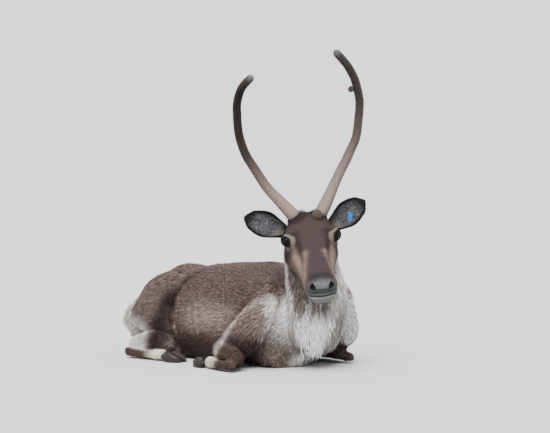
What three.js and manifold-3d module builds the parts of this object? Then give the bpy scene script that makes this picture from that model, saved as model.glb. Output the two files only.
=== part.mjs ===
// A young reindeer in velvet, lying on its breast with its legs folded and its head turned to its right.
// Millimetres, +Z up. The trunk runs along Y with the breast towards -Y, so its right side faces -X.
// The trunk, legs and tail are first worked out on a straight spine and then bent sideways.
import * as THREE from "three";
import { mergeVertices } from "three/addons/utils/BufferGeometryUtils.js";
import Module from "manifold-3d";

const wasm = await Module();
wasm.setup();

// Driving sizes
const trunkHalf = 465; // half the chord from breast to rump
const spineBow = 90; // how far the middle of the spine stands to the left of that chord
const withersHeight = 352;
const bellyHalf = 182;
const gap = 0.4; // between touching nodes
const headPlace = [-70, -549, 417]; // the middle of the skull between the eyes
const headTurn = 35; // degrees to its right
const headPitch = 42; // degrees down
const headRoll = 9.4; // degrees, left side up
const eyeRadius = 17;
const beamRadius = 16;

const bendRadius = (trunkHalf ** 2 + spineBow ** 2) / (2 * spineBow);
const degrees = Math.PI / 180;

// Bends a point of the straight animal sideways, round a circle on its right
function bend([x, y, z]) {
  const turn = y / bendRadius;
  const reach = bendRadius + x;
  return [reach * Math.cos(turn) - bendRadius + spineBow, reach * Math.sin(turn), z];
}

// The head's own frame: x to its left, y towards the nape, z out of the forehead
const noseward = new THREE.Vector3(
  -Math.sin(headTurn * degrees) * Math.cos(headPitch * degrees),
  -Math.cos(headTurn * degrees) * Math.cos(headPitch * degrees),
  -Math.sin(headPitch * degrees),
);
const level = new THREE.Vector3(Math.cos(headTurn * degrees), -Math.sin(headTurn * degrees), 0);
const leftward = level.applyAxisAngle(noseward, headRoll * degrees);
const headUp = new THREE.Vector3().crossVectors(noseward, leftward);
const headMatrix = new THREE.Matrix4()
  .makeBasis(leftward, noseward.clone().negate(), headUp)
  .setPosition(...headPlace);
const fromHead = (p) => new THREE.Vector3(...p).applyMatrix4(headMatrix).toArray();

// A monotone cubic through values at knots, as a function of the place along them
function smooth(knots, values) {
  const last = knots.length - 1;
  const steps = values.slice(1).map((v, i) => (v - values[i]) / (knots[i + 1] - knots[i]));
  const slopes = values.map((_, i) => {
    if (i === 0) return steps[0];
    if (i === last) return steps[last - 1];
    const [before, after] = [steps[i - 1], steps[i]];
    return before * after <= 0 ? 0 : (2 * before * after) / (before + after);
  });
  return (t) => {
    let i = 0;
    while (i < last - 1 && t > knots[i + 1]) i += 1;
    const span = knots[i + 1] - knots[i];
    const s = (t - knots[i]) / span;
    const keep = 1 + s * s * (2 * s - 3);
    return (
      keep * values[i] +
      (1 - keep) * values[i + 1] +
      span * s * (1 - s) * (slopes[i] * (1 - s) - slopes[i + 1] * s)
    );
  };
}

// Turns a closed three.js geometry into a solid, with its faces outward
function solid(geometry) {
  const bare = new THREE.BufferGeometry().setAttribute("position", geometry.getAttribute("position"));
  bare.setIndex(geometry.index);
  const merged = mergeVertices(bare, 1e-3);
  const positions = merged.attributes.position.array;
  const made = [];
  const index = merged.index.array;
  let volume = 0;
  for (let i = 0; i < index.length; i += 3) {
    const [a, b, c] = [index[i], index[i + 1], index[i + 2]];
    if (a === b || b === c || c === a) continue;
    made.push(a, b, c);
    const [p, q, r] = [a, b, c].map((k) => new THREE.Vector3().fromArray(positions, 3 * k));
    volume += p.dot(q.cross(r));
  }
  if (volume < 0) for (let i = 0; i < made.length; i += 3) [made[i], made[i + 1]] = [made[i + 1], made[i]];
  return new wasm.Manifold(
    new wasm.Mesh({ numProp: 3, vertProperties: positions, triVerts: new Uint32Array(made) }),
  );
}

// A solid whose surface is place(t, angle), with t from end to end and the angle round it
function wrapped(place, around, along) {
  const ball = new THREE.SphereGeometry(1, around, along);
  const { position, uv } = ball.attributes;
  for (let i = 0; i < position.count; i += 1) {
    const t = (1 - Math.cos((1 - uv.getY(i)) * Math.PI)) / 2;
    position.setXYZ(i, ...place(t, uv.getX(i) * 2 * Math.PI));
  }
  return solid(ball);
}

const bulge = (v, square) => Math.sign(v) * Math.abs(v) ** (2 / square);

// The surface of a form carried along stations: each has its centre, half width, rise above and
// drop below
function fleshSurface(stations, options = {}) {
  const { roundStart = 0.1, roundEnd = 0.1, up = [0, 0, 1] } = options;
  const { square = 2.2, swell = 0, warp = (p) => p, sculpt = (p) => p } = options;
  const knots = [0];
  for (let i = 1; i < stations.length; i += 1) {
    const [a, b] = [stations[i - 1].at, stations[i].at];
    knots.push(knots[i - 1] + Math.hypot(b[0] - a[0], b[1] - a[1], b[2] - a[2]));
  }
  const total = knots[knots.length - 1];
  const track = (read) => smooth(knots.map((k) => k / total), stations.map(read));
  const centre = [0, 1, 2].map((k) => track((s) => s.at[k]));
  const half = track((s) => s.half);
  const rise = track((s) => s.rise ?? s.half);
  const drop = track((s) => s.drop ?? s.rise ?? s.half);
  const reference = new THREE.Vector3(...up);
  const pointAt = (t) => new THREE.Vector3(...centre.map((f) => f(t)));
  return (t, angle) => {
    const middle = pointAt(t);
    const ahead = pointAt(Math.min(1, t + 0.02)).sub(pointAt(Math.max(0, t - 0.02))).normalize();
    const side = new THREE.Vector3().crossVectors(ahead, reference).normalize();
    const above = new THREE.Vector3().crossVectors(side, ahead);
    const start = Math.min(1, t / roundStart);
    const end = Math.min(1, (1 - t) / roundEnd);
    const cap = Math.sqrt((1 - (1 - start) ** 2) * (1 - (1 - end) ** 2));
    const [cos, sin] = [bulge(Math.cos(angle), square), bulge(Math.sin(angle), square)];
    const tall = sin > 0 ? rise(t) : drop(t);
    const swollen = swell * Math.min(1, cap * 4);
    middle.addScaledVector(side, cos * (half(t) * cap + swollen));
    middle.addScaledVector(above, sin * (tall * cap + swollen));
    middle.addScaledVector(ahead, swell * (2 * t - 1));
    return warp(sculpt(middle.toArray()));
  };
}

const fleshed = (stations, options = {}) =>
  wrapped(fleshSurface(stations, options), options.around ?? 16, options.along ?? 14);

const box = (low, high) => {
  const size = high.map((h, i) => h - low[i]);
  const made = new THREE.BoxGeometry(...size);
  made.translate(...high.map((h, i) => (h + low[i]) / 2));
  return solid(made);
};
const aboveFloor = box([-2000, -2000, 0], [2000, 2000, 2000]);

const largest = (made) =>
  made.decompose().reduce((best, one) => (one.volume() > best.volume() ? one : best));

// Trunk: the widest part of each section stands at `waist` above the floor
const trunkSections = [
  { y: -458, top: 165, half: 66, waist: 100 },
  { y: -422, top: 232, half: 108, waist: 118 },
  { y: -360, top: 296, half: 142, waist: 130 },
  { y: -250, top: withersHeight, half: 162, waist: 140 },
  { y: -120, top: 348, half: 174, waist: 140 },
  { y: 10, top: 340, half: bellyHalf, waist: 130 },
  { y: 110, top: 325, half: 176, waist: 130 },
  { y: 195, top: 336, half: 158, waist: 140 },
  { y: 262, top: 308, half: 142, waist: 142 },
  { y: 326, top: 250, half: 124, waist: 124 },
  { y: 378, top: 190, half: 104, waist: 104 },
  { y: 420, top: 144, half: 80, waist: 92 },
  { y: 446, top: 108, half: 56, waist: 78 },
];
const trunkSink = 26; // how far the sections dip under the floor, where they are cut flat
const trunk = (swell = 0) =>
  fleshed(
    trunkSections.map(({ y, top, half, waist }) => ({
      at: [0, y, waist],
      half,
      rise: top - waist,
      drop: waist + trunkSink,
    })),
    { around: 24, along: 20, roundStart: 0.05, roundEnd: 0.06, square: 2.25, warp: bend, swell },
  );

// Legs, for side 1 on the left and -1 on the right
const legForms = {
  foreleg_upper: {
    stations: [
      { at: [92, -384, 304], half: 26, rise: 34, drop: 50 },
      { at: [108, -394, 256], half: 40, rise: 42, drop: 62 },
      { at: [126, -386, 208], half: 48, rise: 52, drop: 72 },
      { at: [150, -350, 152], half: 54, rise: 56, drop: 100 },
      { at: [170, -294, 98], half: 51, rise: 62, drop: 82 },
      { at: [186, -176, 46], half: 40, rise: 46, drop: 36 },
    ],
    up: [0, 1, 0],
    around: 14,
    along: 10,
    round: 0.24,
  },
  foreleg_forearm: {
    stations: [
      { at: [192, -180, 54], half: 36, rise: 44 },
      { at: [206, -262, 54], half: 38, rise: 42 },
      { at: [222, -350, 48], half: 29, rise: 32 },
      { at: [236, -430, 40], half: 29, rise: 31 },
    ],
    up: [0, 0, 1],
    around: 12,
    along: 10,
    round: 0.14,
  },
  foreleg_cannon: {
    stations: [
      { at: [248, -446, 26], half: 22, rise: 21 },
      { at: [262, -380, 20], half: 17, rise: 18 },
      { at: [266, -310, 19], half: 17, rise: 18 },
      { at: [262, -268, 21], half: 22, rise: 21 },
      { at: [256, -228, 24], half: 21, rise: 20 },
    ],
    up: [0, 0, 1],
    around: 10,
    along: 11,
    round: 0.14,
  },
  hindleg_thigh: {
    stations: [
      { at: [80, 186, 304], half: 34, rise: 52, drop: 52 },
      { at: [112, 176, 252], half: 52, rise: 92, drop: 104 },
      { at: [146, 196, 190], half: 56, rise: 112, drop: 116 },
      { at: [170, 214, 130], half: 54, rise: 120, drop: 124 },
      { at: [180, 222, 84], half: 44, rise: 104, drop: 114 },
    ],
    up: [0, 1, 0],
    around: 18,
    along: 9,
    round: 0.24,
  },
  hindleg_shank: {
    stations: [
      { at: [186, 108, 64], half: 42, rise: 46 },
      { at: [192, 168, 62], half: 44, rise: 47 },
      { at: [194, 245, 54], half: 30, rise: 37 },
      { at: [190, 312, 44], half: 27, rise: 35 },
    ],
    up: [0, 0, 1],
    around: 12,
    along: 10,
    round: 0.14,
  },
  hindleg_cannon: {
    stations: [
      { at: [206, 322, 28], half: 24, rise: 26 },
      { at: [222, 262, 22], half: 18, rise: 20 },
      { at: [230, 172, 20], half: 17, rise: 18 },
      { at: [230, 112, 22], half: 22, rise: 21 },
      { at: [224, 72, 24], half: 21, rise: 20 },
    ],
    up: [0, 0, 1],
    around: 10,
    along: 11,
    round: 0.14,
  },
};

// A foot: two claws side by side, each bowed inward to its tip, with two dewclaws above them
const feet = {
  foreleg: { root: [258, -222, 24], heading: [-0.12, 1, -0.02] },
  hindleg: { root: [224, 68, 24], heading: [-0.1, -1, -0.02] },
};
const claw = { length: 82, half: 17, rise: 24, apart: 19 };

// How far each folded lower foreleg is shifted from the pose above
const tucks = { 1: [-30, 50], [-1]: [-14, 4] };
// and each upper foreleg: outward, and back at its top and at its elbow
const spreads = { 1: [30, -40, 26], [-1]: [-8, 0, 0] };
function placed(limb, side, [x, y, z]) {
  let shift = [0, 0];
  if (limb === "foreleg_upper") {
    const [out, top, elbow] = spreads[side];
    shift = [out, top + ((elbow - top) * (262 - z)) / 216];
  } else if (limb.startsWith("foreleg")) shift = tucks[side];
  return [side * (x + shift[0]), y + shift[1], z];
}

function dewclaw(foot, side, which, swell) {
  const { root, heading } = feet[foot];
  const start = new THREE.Vector3(...placed(foot, side, root));
  const ahead = new THREE.Vector3(heading[0] * side, heading[1], 0).normalize();
  const across = new THREE.Vector3().crossVectors(ahead, new THREE.Vector3(0, 0, 1));
  start.addScaledVector(ahead, -20).addScaledVector(across, which * 14);
  start.z -= 4;
  const tip = start.clone().addScaledVector(ahead, 28).addScaledVector(across, which * 13);
  tip.z -= 8;
  return fleshed(
    [
      { at: start.toArray(), half: 9, rise: 9 },
      { at: start.clone().lerp(tip, 0.6).toArray(), half: 8, rise: 7 },
      { at: tip.toArray(), half: 3, rise: 3 },
    ],
    { around: 6, along: 4, roundStart: 0.2, roundEnd: 0.2, warp: bend, swell },
  );
}

function legPiece(name, side, swell = 0) {
  const { stations, up, around, along, round } = legForms[name];
  const set = stations.map((station) => ({ ...station, at: placed(name, side, station.at) }));
  const ends = { roundStart: round, roundEnd: round };
  let made = fleshed(set, { around, along, up, ...ends, warp: bend, swell });
  if (name.endsWith("cannon")) {
    const foot = name.split("_")[0];
    made = made.add(dewclaw(foot, side, 1, swell)).add(dewclaw(foot, side, -1, swell));
  }
  return made;
}

function clawPiece(foot, side, which, swell = 0) {
  const { root, heading } = feet[foot];
  const ahead = new THREE.Vector3(heading[0] * side, heading[1], heading[2]).normalize();
  const across = new THREE.Vector3().crossVectors(ahead, new THREE.Vector3(0, 0, 1)).normalize();
  const place = (along, out, high) =>
    new THREE.Vector3(...placed(foot, side, root))
      .addScaledVector(ahead, along * claw.length)
      .addScaledVector(across, which * out * claw.apart)
      .add(new THREE.Vector3(0, 0, high))
      .toArray();
  const { half, rise } = claw;
  return fleshed(
    [
      { at: place(-0.08, 0.78, -4), half: half * 0.8, rise: rise * 0.75, drop: rise * 0.8 },
      { at: place(0.25, 1, -5), half, rise: rise * 0.8, drop: rise },
      { at: place(0.62, 1.02, -8), half: half * 0.85, rise: rise * 0.55, drop: rise },
      { at: place(1, 0.55, -14), half: half * 0.3, rise: rise * 0.22, drop: rise * 0.6 },
    ],
    { around: 9, along: 6, roundStart: 0.15, roundEnd: 0.12, square: 2.4, warp: bend, swell },
  );
}

// Head, in its own frame: `top` and `chin` are the heights of its upper and lower outline
const headSections = [
  { y: -223, top: 14, chin: -32, half: 34 },
  { y: -211, top: 28, chin: -58, half: 50 },
  { y: -184, top: 34, chin: -70, half: 54 },
  { y: -140, top: 36, chin: -77, half: 54 },
  { y: -92, top: 40, chin: -89, half: 62 },
  { y: -42, top: 49, chin: -99, half: 74 },
  { y: 5, top: 58, chin: -106, half: 87 },
  { y: 47, top: 64, chin: -100, half: 84 },
  { y: 90, top: 57, chin: -78, half: 64 },
  { y: 124, top: 28, chin: -46, half: 42 },
];
const eyePlace = [76, -1, 24];
// Swellings of the head: where they stand, how far they reach and how far they push
const headForms = [
  { at: [74, 8, 42], reach: [28, 40, 20], push: [9, 0, 9] }, // brow
  { at: [80, -14, -6], reach: [24, 32, 14], push: [5, 0, -1] }, // lower rim of the socket
  { at: [70, -12, -66], reach: [34, 48, 36], push: [12, 0, 0] }, // jaw muscle
  { at: [50, -78, 14], reach: [24, 44, 22], push: [-10, 0, -2] }, // hollow in front of the eye
  { at: [0, -15, 60], reach: [26, 40, 30], push: [0, 0, -5] }, // dip between the brows
  { at: [31, -211, 16], reach: [17, 20, 16], push: [7, -5, 4] }, // nostril's wing
  { at: [0, -223, 4], reach: [18, 16, 18], push: [0, -5, 2] }, // tip of the nose
  { at: [26, -211, -42], reach: [22, 20, 11], push: [3, -4, 0] }, // lower lip
];

function sculptHead(point) {
  const moved = [...point];
  for (const { at, reach, push } of headForms)
    for (const side of at[0] ? [1, -1] : [1]) {
      const away = [0, 1, 2].map((k) => (point[k] - at[k] * (k ? 1 : side)) / reach[k]);
      const near = Math.exp(-(away[0] ** 2 + away[1] ** 2 + away[2] ** 2));
      moved[0] += side * push[0] * near;
      moved[1] += push[1] * near;
      moved[2] += push[2] * near;
    }
  return moved;
}

const headForm = (swell = 0) =>
  fleshed(
    headSections.map(({ y, top, chin, half }) => ({
      at: [0, y, (top + chin) / 2 + 8],
      half,
      rise: (top - chin) / 2 - 8,
      drop: (top - chin) / 2 + 8,
    })),
    {
      around: 28,
      along: 28,
      roundStart: 0.07,
      roundEnd: 0.12,
      square: 2.35,
      swell,
      sculpt: sculptHead,
      warp: fromHead,
    },
  );

// An ellipsoid in the head's frame, turned about its axes
function blob(at, radii, turn = [0, 0, 0], detail = [12, 8]) {
  const ball = new THREE.SphereGeometry(1, ...detail);
  ball.applyMatrix4(new THREE.Matrix4().makeScale(...radii));
  ball.applyMatrix4(new THREE.Matrix4().makeRotationFromEuler(new THREE.Euler(...turn)));
  ball.translate(...at);
  ball.applyMatrix4(headMatrix);
  return solid(ball);
}

const eye = (side, swell = 0) => {
  const radius = eyeRadius + swell;
  const [x, y, z] = eyePlace;
  return blob([side * x, y, z], [radius, radius, radius]);
};

// Lids: a thin shell over the eyeball, with an almond-shaped opening
const lidShell = (side) => eye(side, 3.5);
const lidOpening = (side) => {
  const [x, y, z] = eyePlace;
  return blob([side * (x + 16), y - 12, z + 2], [18, 15, 10], [0.3, 0, -side * 0.6], [10, 8]);
};

// The cleft between the lips: a thin slab round the front of the muzzle, round a smaller block
function mouthLine() {
  const slab = new THREE.BoxGeometry(150, 96, 3);
  const core = new THREE.BoxGeometry(76, 78, 12);
  slab.translate(0, -12, 0);
  core.translate(0, 16, 0);
  const [outer, inner] = [slab, core].map((one) => {
    one.applyMatrix4(new THREE.Matrix4().makeRotationX(-0.2));
    one.translate(0, -184, -21);
    return solid(one.applyMatrix4(headMatrix));
  });
  return outer.subtract(inner);
}

function headNode() {
  let made = headForm();
  for (const side of [1, -1]) {
    made = made.add(lidShell(side)).subtract(lidOpening(side)).subtract(eye(side, gap));
    made = made.subtract(blob([side * 29, -219, 13], [7, 14, 12], [0.3, side * 0.5, side * 0.5], [8, 6]));
  }
  return made.subtract(mouthLine());
}

// Ear: a leaf rolled into a cup, wide open in the middle and almost closed at its root
const ear = { length: 142, half: 42, thick: 5, root: [72, 62, 0] };
const earWidth = smooth([0, 0.15, 0.5, 0.8, 1], [0.42, 0.62, 1, 0.76, 0.08]);
const earRoll = smooth([0, 0.3, 0.7, 1], [2.6, 1.7, 1.05, 0.9]);
const earAway = { 1: [0.93, 0.36, 0.39], [-1]: [-0.86, 0.4, 0.24] };

// A point of the ear: t from root to tip, v from edge to edge, skin off its middle surface
function earPoint(side, t, v, skin, shut = 1) {
  const away = new THREE.Vector3(...earAway[side]).normalize();
  const face = new THREE.Vector3(side * -0.1, -0.74, 0.67);
  face.addScaledVector(away, -face.dot(away)).normalize();
  const across = new THREE.Vector3().crossVectors(away, face);
  const spread = earRoll(t);
  const radius = (ear.half * earWidth(t) * shut) / Math.sin(Math.min(spread, Math.PI / 2));
  const bent = v * spread;
  return new THREE.Vector3(side * ear.root[0], ear.root[1], ear.root[2])
    .addScaledVector(away, t * ear.length)
    .addScaledVector(face, radius * (1 - Math.cos(bent)) + skin * Math.cos(bent) - 18 * Math.sin(t * 1.57))
    .addScaledVector(across, (radius - skin) * Math.sin(bent))
    .applyMatrix4(headMatrix);
}

function earPiece(side, swell = 0) {
  const place = (t, angle) => {
    const shut = Math.sqrt(Math.min(1, t / 0.03, (1 - t) / 0.03)); // closes both ends
    const skin = Math.sin(angle) * (ear.thick / 2 + swell) * shut;
    return earPoint(side, t, Math.cos(angle), skin, shut).toArray();
  };
  return wrapped(place, 18, 12);
}

// Ear tag: a panel in the cup, joined by a pin through the ear to a disc behind it
const tag = { t: 0.5, v: 0.28, width: 15, height: 32, thick: 2.4, pin: 3, disc: 8 };
function tagForm(swell = 0) {
  const middle = earPoint(1, tag.t, tag.v, 0);
  const out = earPoint(1, tag.t, tag.v, 10).sub(middle).normalize();
  const upright = new THREE.Vector3(0, 0, 1).addScaledVector(out, -out.z).normalize();
  const frame = new THREE.Matrix4()
    .makeBasis(new THREE.Vector3().crossVectors(upright, out), upright, out)
    .setPosition(middle);
  const face = ear.thick / 2 + 1.4;
  const panel = new THREE.BoxGeometry(tag.width + 2 * swell, tag.height + 2 * swell, tag.thick + 2 * swell);
  panel.translate(0, 0, face + tag.thick / 2);
  const pin = new THREE.CylinderGeometry(tag.pin + swell, tag.pin + swell, 2 * face + 2, 12);
  pin.applyMatrix4(new THREE.Matrix4().makeRotationX(Math.PI / 2));
  const disc = new THREE.CylinderGeometry(tag.disc + swell, tag.disc + swell, tag.thick + 2 * swell, 16);
  disc.applyMatrix4(new THREE.Matrix4().makeRotationX(Math.PI / 2));
  disc.translate(0, 0, -face - tag.thick / 2);
  return [panel, pin, disc].map((one) => solid(one.applyMatrix4(frame))).reduce((sum, one) => sum.add(one));
}

// Antlers: points of each beam, as far to its side, back and up from the crown of the head.
// They rise, bow out and come forward and in again to blunt tips.
const crown = new THREE.Vector3(...fromHead([0, 60, 20]));
const heading = headTurn * degrees;
function fromCrown([out, back, up]) {
  const x = out * Math.cos(heading) + back * Math.sin(heading);
  const y = -out * Math.sin(heading) + back * Math.cos(heading);
  return [crown.x + x, crown.y + y, crown.z + up];
}
const antlers = {
  left: [
    [36, 0, 26],
    [68, 14, 84],
    [130, 58, 196],
    [172, 78, 270],
    [190, 82, 350],
    [182, 64, 425],
    [152, 26, 490],
    [78, -33, 554],
  ],
  right: [
    [-36, 0, 20],
    [-58, 6, 48],
    [-106, 26, 94],
    [-154, 56, 168],
    [-196, 78, 246],
    [-214, 80, 324],
    [-217, 64, 388],
    [-208, 32, 436],
    [-181, -15, 470],
  ],
};
const beamShape = [1.42, 1.2, 1.04, 1, 0.96, 0.94, 0.92, 0.88, 0.84];
function beam(which, swell = 0) {
  const points = antlers[which].map((p) => new THREE.Vector3(...fromCrown(p)));
  const curve = new THREE.CatmullRomCurve3(points, false, "centripetal");
  const stations = beamShape.map((factor, i) => ({
    at: curve.getPointAt(i / (beamShape.length - 1)).toArray(),
    half: beamRadius * factor,
  }));
  const ends = { roundStart: 0.03, roundEnd: 0.03 };
  const made = fleshed(stations, { around: 10, along: 22, ...ends, up: [0.7, 0.7, 0], square: 2, swell });
  return which === "left" ? made.add(knob(swell)) : made;
}

// A small knob on the inner side of the left beam
function knob(swell) {
  const ball = new THREE.SphereGeometry(11 + swell, 8, 6);
  ball.translate(...fromCrown([154, 50, 441]));
  return solid(ball);
}

// The first bud of the left antler's brow tine
const browBud = (swell = 0) => {
  const radii = [18, 20, 18].map((r) => r + swell);
  return blob([31, 58, 62], radii);
};

// A seeded random number from 0 to 1
let seed = 4711;
function chance() {
  seed = (seed * 16807) % 2147483647;
  return seed / 2147483647;
}
const vary = (spread) => spread * (2 * chance() - 1);

// A lock of long hair: flat, four-sided and tapered, from its sunk root to its tip
function lock({ points, half, thick, out }, swell = 0) {
  const widths = [0.6, 0.95, 1, 0.12];
  const stations = points.map((at, i) => ({ at, half: half * widths[i], rise: thick * widths[i] }));
  return fleshed(stations, { around: 4, along: 5, roundStart: 0.1, roundEnd: 0.04, up: out, swell });
}

// Long hair that hangs from a core: rows of [place along the core, length, number of locks] from
// the top down. The locks leave the core, hang over the row below and end above the floor.
function hanging(core, { rows, fan, facing, half, thick, depth, sunk }) {
  const made = [];
  rows.forEach(([along, length, count], row) => {
    for (let k = 0; k < count; k += 1) {
      const turn = fan * ((2 * k + 1) / count - 1 + vary(0.25) / count);
      const angle = facing + turn;
      const start = new THREE.Vector3(...core(along + vary(0.02), angle));
      const out = start.clone().sub(new THREE.Vector3(...core(along, angle + Math.PI)));
      out.setZ(0).normalize();
      const sway = new THREE.Vector3(-out.y, out.x, 0).multiplyScalar(vary(half * 0.4));
      const reach = length * (1 + vary(0.1));
      const stand = depth * (1 - 0.12 * (row % 2) + vary(0.1));
      const points = [
        [-sunk, 0.1],
        [stand * 0.35, -0.12],
        [stand * 0.85, -0.5],
        [stand * 0.9, -1],
      ].map(([off, high]) => {
        const at = start.clone().addScaledVector(out, off).addScaledVector(sway, -high);
        at.z = Math.max(at.z + high * reach, lockClearance);
        return at.toArray();
      });
      made.push({ points, half: half * (1 + vary(0.12)), thick, out: out.toArray() });
    }
  });
  return made;
}
const lockClearance = 3; // between the tips and the floor

// Neck: from inside the chest up to the back of the skull
// Its front is the core of the mane, so `drop` there stops short of the tips of the hair
const neckStations = [
  { at: [62, -398, 56], half: 78, rise: 66, drop: 60 },
  { at: [54, -438, 116], half: 91, rise: 92, drop: 84 },
  { at: [42, -466, 188], half: 98, rise: 104, drop: 94 },
  { at: [24, -486, 262], half: 95, rise: 100, drop: 90 },
  { at: [8, -482, 335], half: 86, rise: 94, drop: 84 },
  { at: fromHead([0, 68, -58]), half: 76, rise: 78 },
  { at: fromHead([0, 84, -14]), half: 52, rise: 50 },
];
const neckShape = { around: 20, along: 14, up: [0.5, 0.86, 0], roundStart: 0.2, roundEnd: 0.12 };
const mane = {
  rows: [
    [0.72, 112, 5],
    [0.6, 124, 5],
    [0.48, 132, 6],
    [0.36, 140, 5],
    [0.25, 124, 6],
  ],
  fan: 0.82,
  facing: 1.5 * Math.PI + 0.45,
  half: 23,
  thick: 5,
  depth: 24,
  sunk: 16,
};
const maneLocks = () =>
  hanging(fleshSurface(neckStations, neckShape), mane)
    .map((one) => lock(one))
    .reduce((sum, one) => sum.add(one));

// The neck and trunk are one form, parted at a plane from the withers down in front of the forelegs
const collar = { at: bend([0, -420, 235]), turn: -420 / bendRadius, slope: 0.18 };
function collarSide(which) {
  const block = new THREE.BoxGeometry(1600, 1600, 1600);
  block.translate(0, 0, which * (800 + gap / 2));
  const ahead = Math.sqrt(1 - collar.slope ** 2);
  const normal = new THREE.Vector3(
    ahead * Math.sin(collar.turn),
    -ahead * Math.cos(collar.turn),
    collar.slope,
  );
  const turned = new THREE.Quaternion().setFromUnitVectors(new THREE.Vector3(0, 0, 1), normal);
  block.applyMatrix4(new THREE.Matrix4().makeRotationFromQuaternion(turned));
  block.translate(...collar.at);
  return solid(block);
}

// Tail: a short core with two rows of locks over it
const tailStations = [
  { at: [0, 372, 206], half: 22, rise: 14 },
  { at: [-4, 410, 174], half: 30, rise: 16 },
  { at: [-8, 440, 128], half: 28, rise: 16 },
  { at: [-10, 452, 88], half: 14, rise: 10 },
];
const tailShape = { around: 10, along: 8, up: [0, 1, 0.6], roundStart: 0.2, roundEnd: 0.2, warp: bend };
const tailHair = {
  rows: [
    [0.3, 62, 3],
    [0.62, 66, 3],
  ],
  fan: 1.1,
  facing: 0.5 * Math.PI,
  half: 14,
  thick: 3.5,
  depth: 9,
  sunk: 7,
};
const tailLocks = hanging(fleshSurface(tailStations, tailShape), tailHair);
const tailForm = (swell = 0) =>
  tailLocks
    .map((one) => lock(one, swell))
    .reduce((sum, one) => sum.add(one), fleshed(tailStations, { ...tailShape, swell }));

// Nodes in order: each is cut clear of all that come before it
const pieces = [];
const colours = {
  coat: [0x6f6058, 0.9],
  pale: [0xcfc8bd, 0.9],
  velvet: [0x4c4038, 0.85],
  horn: [0x2b2622, 0.5],
  eye: [0x15100d, 0.08],
  tag: [0x2f7fb5, 0.45],
};
const add = (name, colour, make, grows = true) =>
  pieces.push({ name, colour, form: make(0), grown: grows ? make(gap) : null });
const sides = [
  ["left", 1],
  ["right", -1],
];

for (const [sideName, side] of sides) add(`eye_${sideName}`, "eye", (swell) => eye(side, swell));
add("head", "coat", (swell) => (swell ? headForm(swell) : headNode()));
add("antler_left_brow", "velvet", browBud);
for (const [sideName] of sides) add(`antler_${sideName}`, "velvet", (swell) => beam(sideName, swell));
add("ear_tag", "tag", tagForm);
for (const [sideName, side] of sides) add(`ear_${sideName}`, "coat", (swell) => earPiece(side, swell));
for (const [sideName, side] of sides)
  for (const formName of Object.keys(legForms))
    add(`${formName}_${sideName}`, "coat", (swell) => legPiece(formName, side, swell));
for (const [sideName, side] of sides)
  for (const footName of Object.keys(feet))
    for (const [whichName, which] of [["inner", -1], ["outer", 1]]) {
      const name = `${footName}_claw_${whichName}_${sideName}`;
      add(name, "horn", (swell) => clawPiece(footName, side, which, swell));
    }
add("tail", "pale", tailForm);
const body = trunk().add(fleshed(neckStations, neckShape));
add("neck", "pale", () => body.add(maneLocks()).intersect(collarSide(1)), false);
add("torso", "coat", () => body.intersect(collarSide(-1)), false);

const group = new THREE.Group();
const done = [];
for (const { name, colour, form, grown } of pieces) {
  let made = form.intersect(aboveFloor);
  for (const before of done) if (before.grown) made = made.subtract(before.grown);
  made = largest(made);
  done.push({ grown });
  const { vertProperties, triVerts } = made.getMesh();
  const geometry = new THREE.BufferGeometry()
    .setAttribute("position", new THREE.BufferAttribute(vertProperties, 3))
    .setIndex(new THREE.BufferAttribute(triVerts, 1));
  const [shade, roughness] = colours[colour];
  const mesh = new THREE.Mesh(geometry, new THREE.MeshStandardMaterial({ color: shade, roughness }));
  mesh.name = name;
  group.add(mesh);
}

export default group;
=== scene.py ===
# A young reindeer in velvet lying on its breast, as a still museum model: skin, coat, antlers, hooves,
# eyes and tag.
import math
import time

import bmesh
import bpy
import numpy as np
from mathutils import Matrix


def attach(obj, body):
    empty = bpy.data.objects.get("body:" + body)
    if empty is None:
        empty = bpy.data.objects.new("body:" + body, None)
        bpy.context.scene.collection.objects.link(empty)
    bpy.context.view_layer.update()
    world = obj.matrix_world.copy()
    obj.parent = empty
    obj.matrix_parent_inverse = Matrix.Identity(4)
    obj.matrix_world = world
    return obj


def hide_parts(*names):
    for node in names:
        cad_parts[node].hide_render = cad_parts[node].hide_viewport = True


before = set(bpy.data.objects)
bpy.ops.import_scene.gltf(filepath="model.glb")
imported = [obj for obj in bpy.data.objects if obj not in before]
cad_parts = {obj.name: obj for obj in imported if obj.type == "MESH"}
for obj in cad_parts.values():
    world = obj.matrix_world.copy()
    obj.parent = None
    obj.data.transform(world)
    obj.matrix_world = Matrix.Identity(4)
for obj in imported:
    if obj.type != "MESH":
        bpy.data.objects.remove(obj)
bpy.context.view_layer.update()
started = time.time()
mm = 0.001
lowest = 0.6  # millimetres over the floor that tufts and claws keep
sideNames = {1: "left", -1: "right"}


# Prints how far the script is, with the seconds since its start.
def stage(words):
    print(f"[{time.time() - started:6.1f} s] {words}")


# The pose, with the same driving sizes as the solids
pose = {
    "trunkHalf": 465,
    "spineBow": 90,
    "headPlace": (-70, -549, 417),
    "headTurn": 35,
    "headPitch": 42,
    "headRoll": 9.4,
}
bendRadius = (pose["trunkHalf"] ** 2 + pose["spineBow"] ** 2) / (2 * pose["spineBow"])


# Each vector divided by its own length.
def unit(v):
    return v / np.maximum(np.linalg.norm(v, axis=-1, keepdims=True), 1e-12)


# Wraps the straight animal round a vertical circle: y becomes the angle y / bendRadius, x the distance
# beyond it.
def bendSpine(points):
    points = np.asarray(points, float)
    turn = points[..., 1] / bendRadius
    reach = bendRadius + points[..., 0]
    x = reach * np.cos(turn) - bendRadius + pose["spineBow"]
    return np.stack([x, reach * np.sin(turn), points[..., 2]], -1)


# The reverse of bendSpine.
def straighten(points):
    x = points[..., 0] + bendRadius - pose["spineBow"]
    reach = np.hypot(x, points[..., 1])
    return np.stack([reach - bendRadius, np.arctan2(points[..., 1], x) * bendRadius, points[..., 2]], -1)


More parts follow.
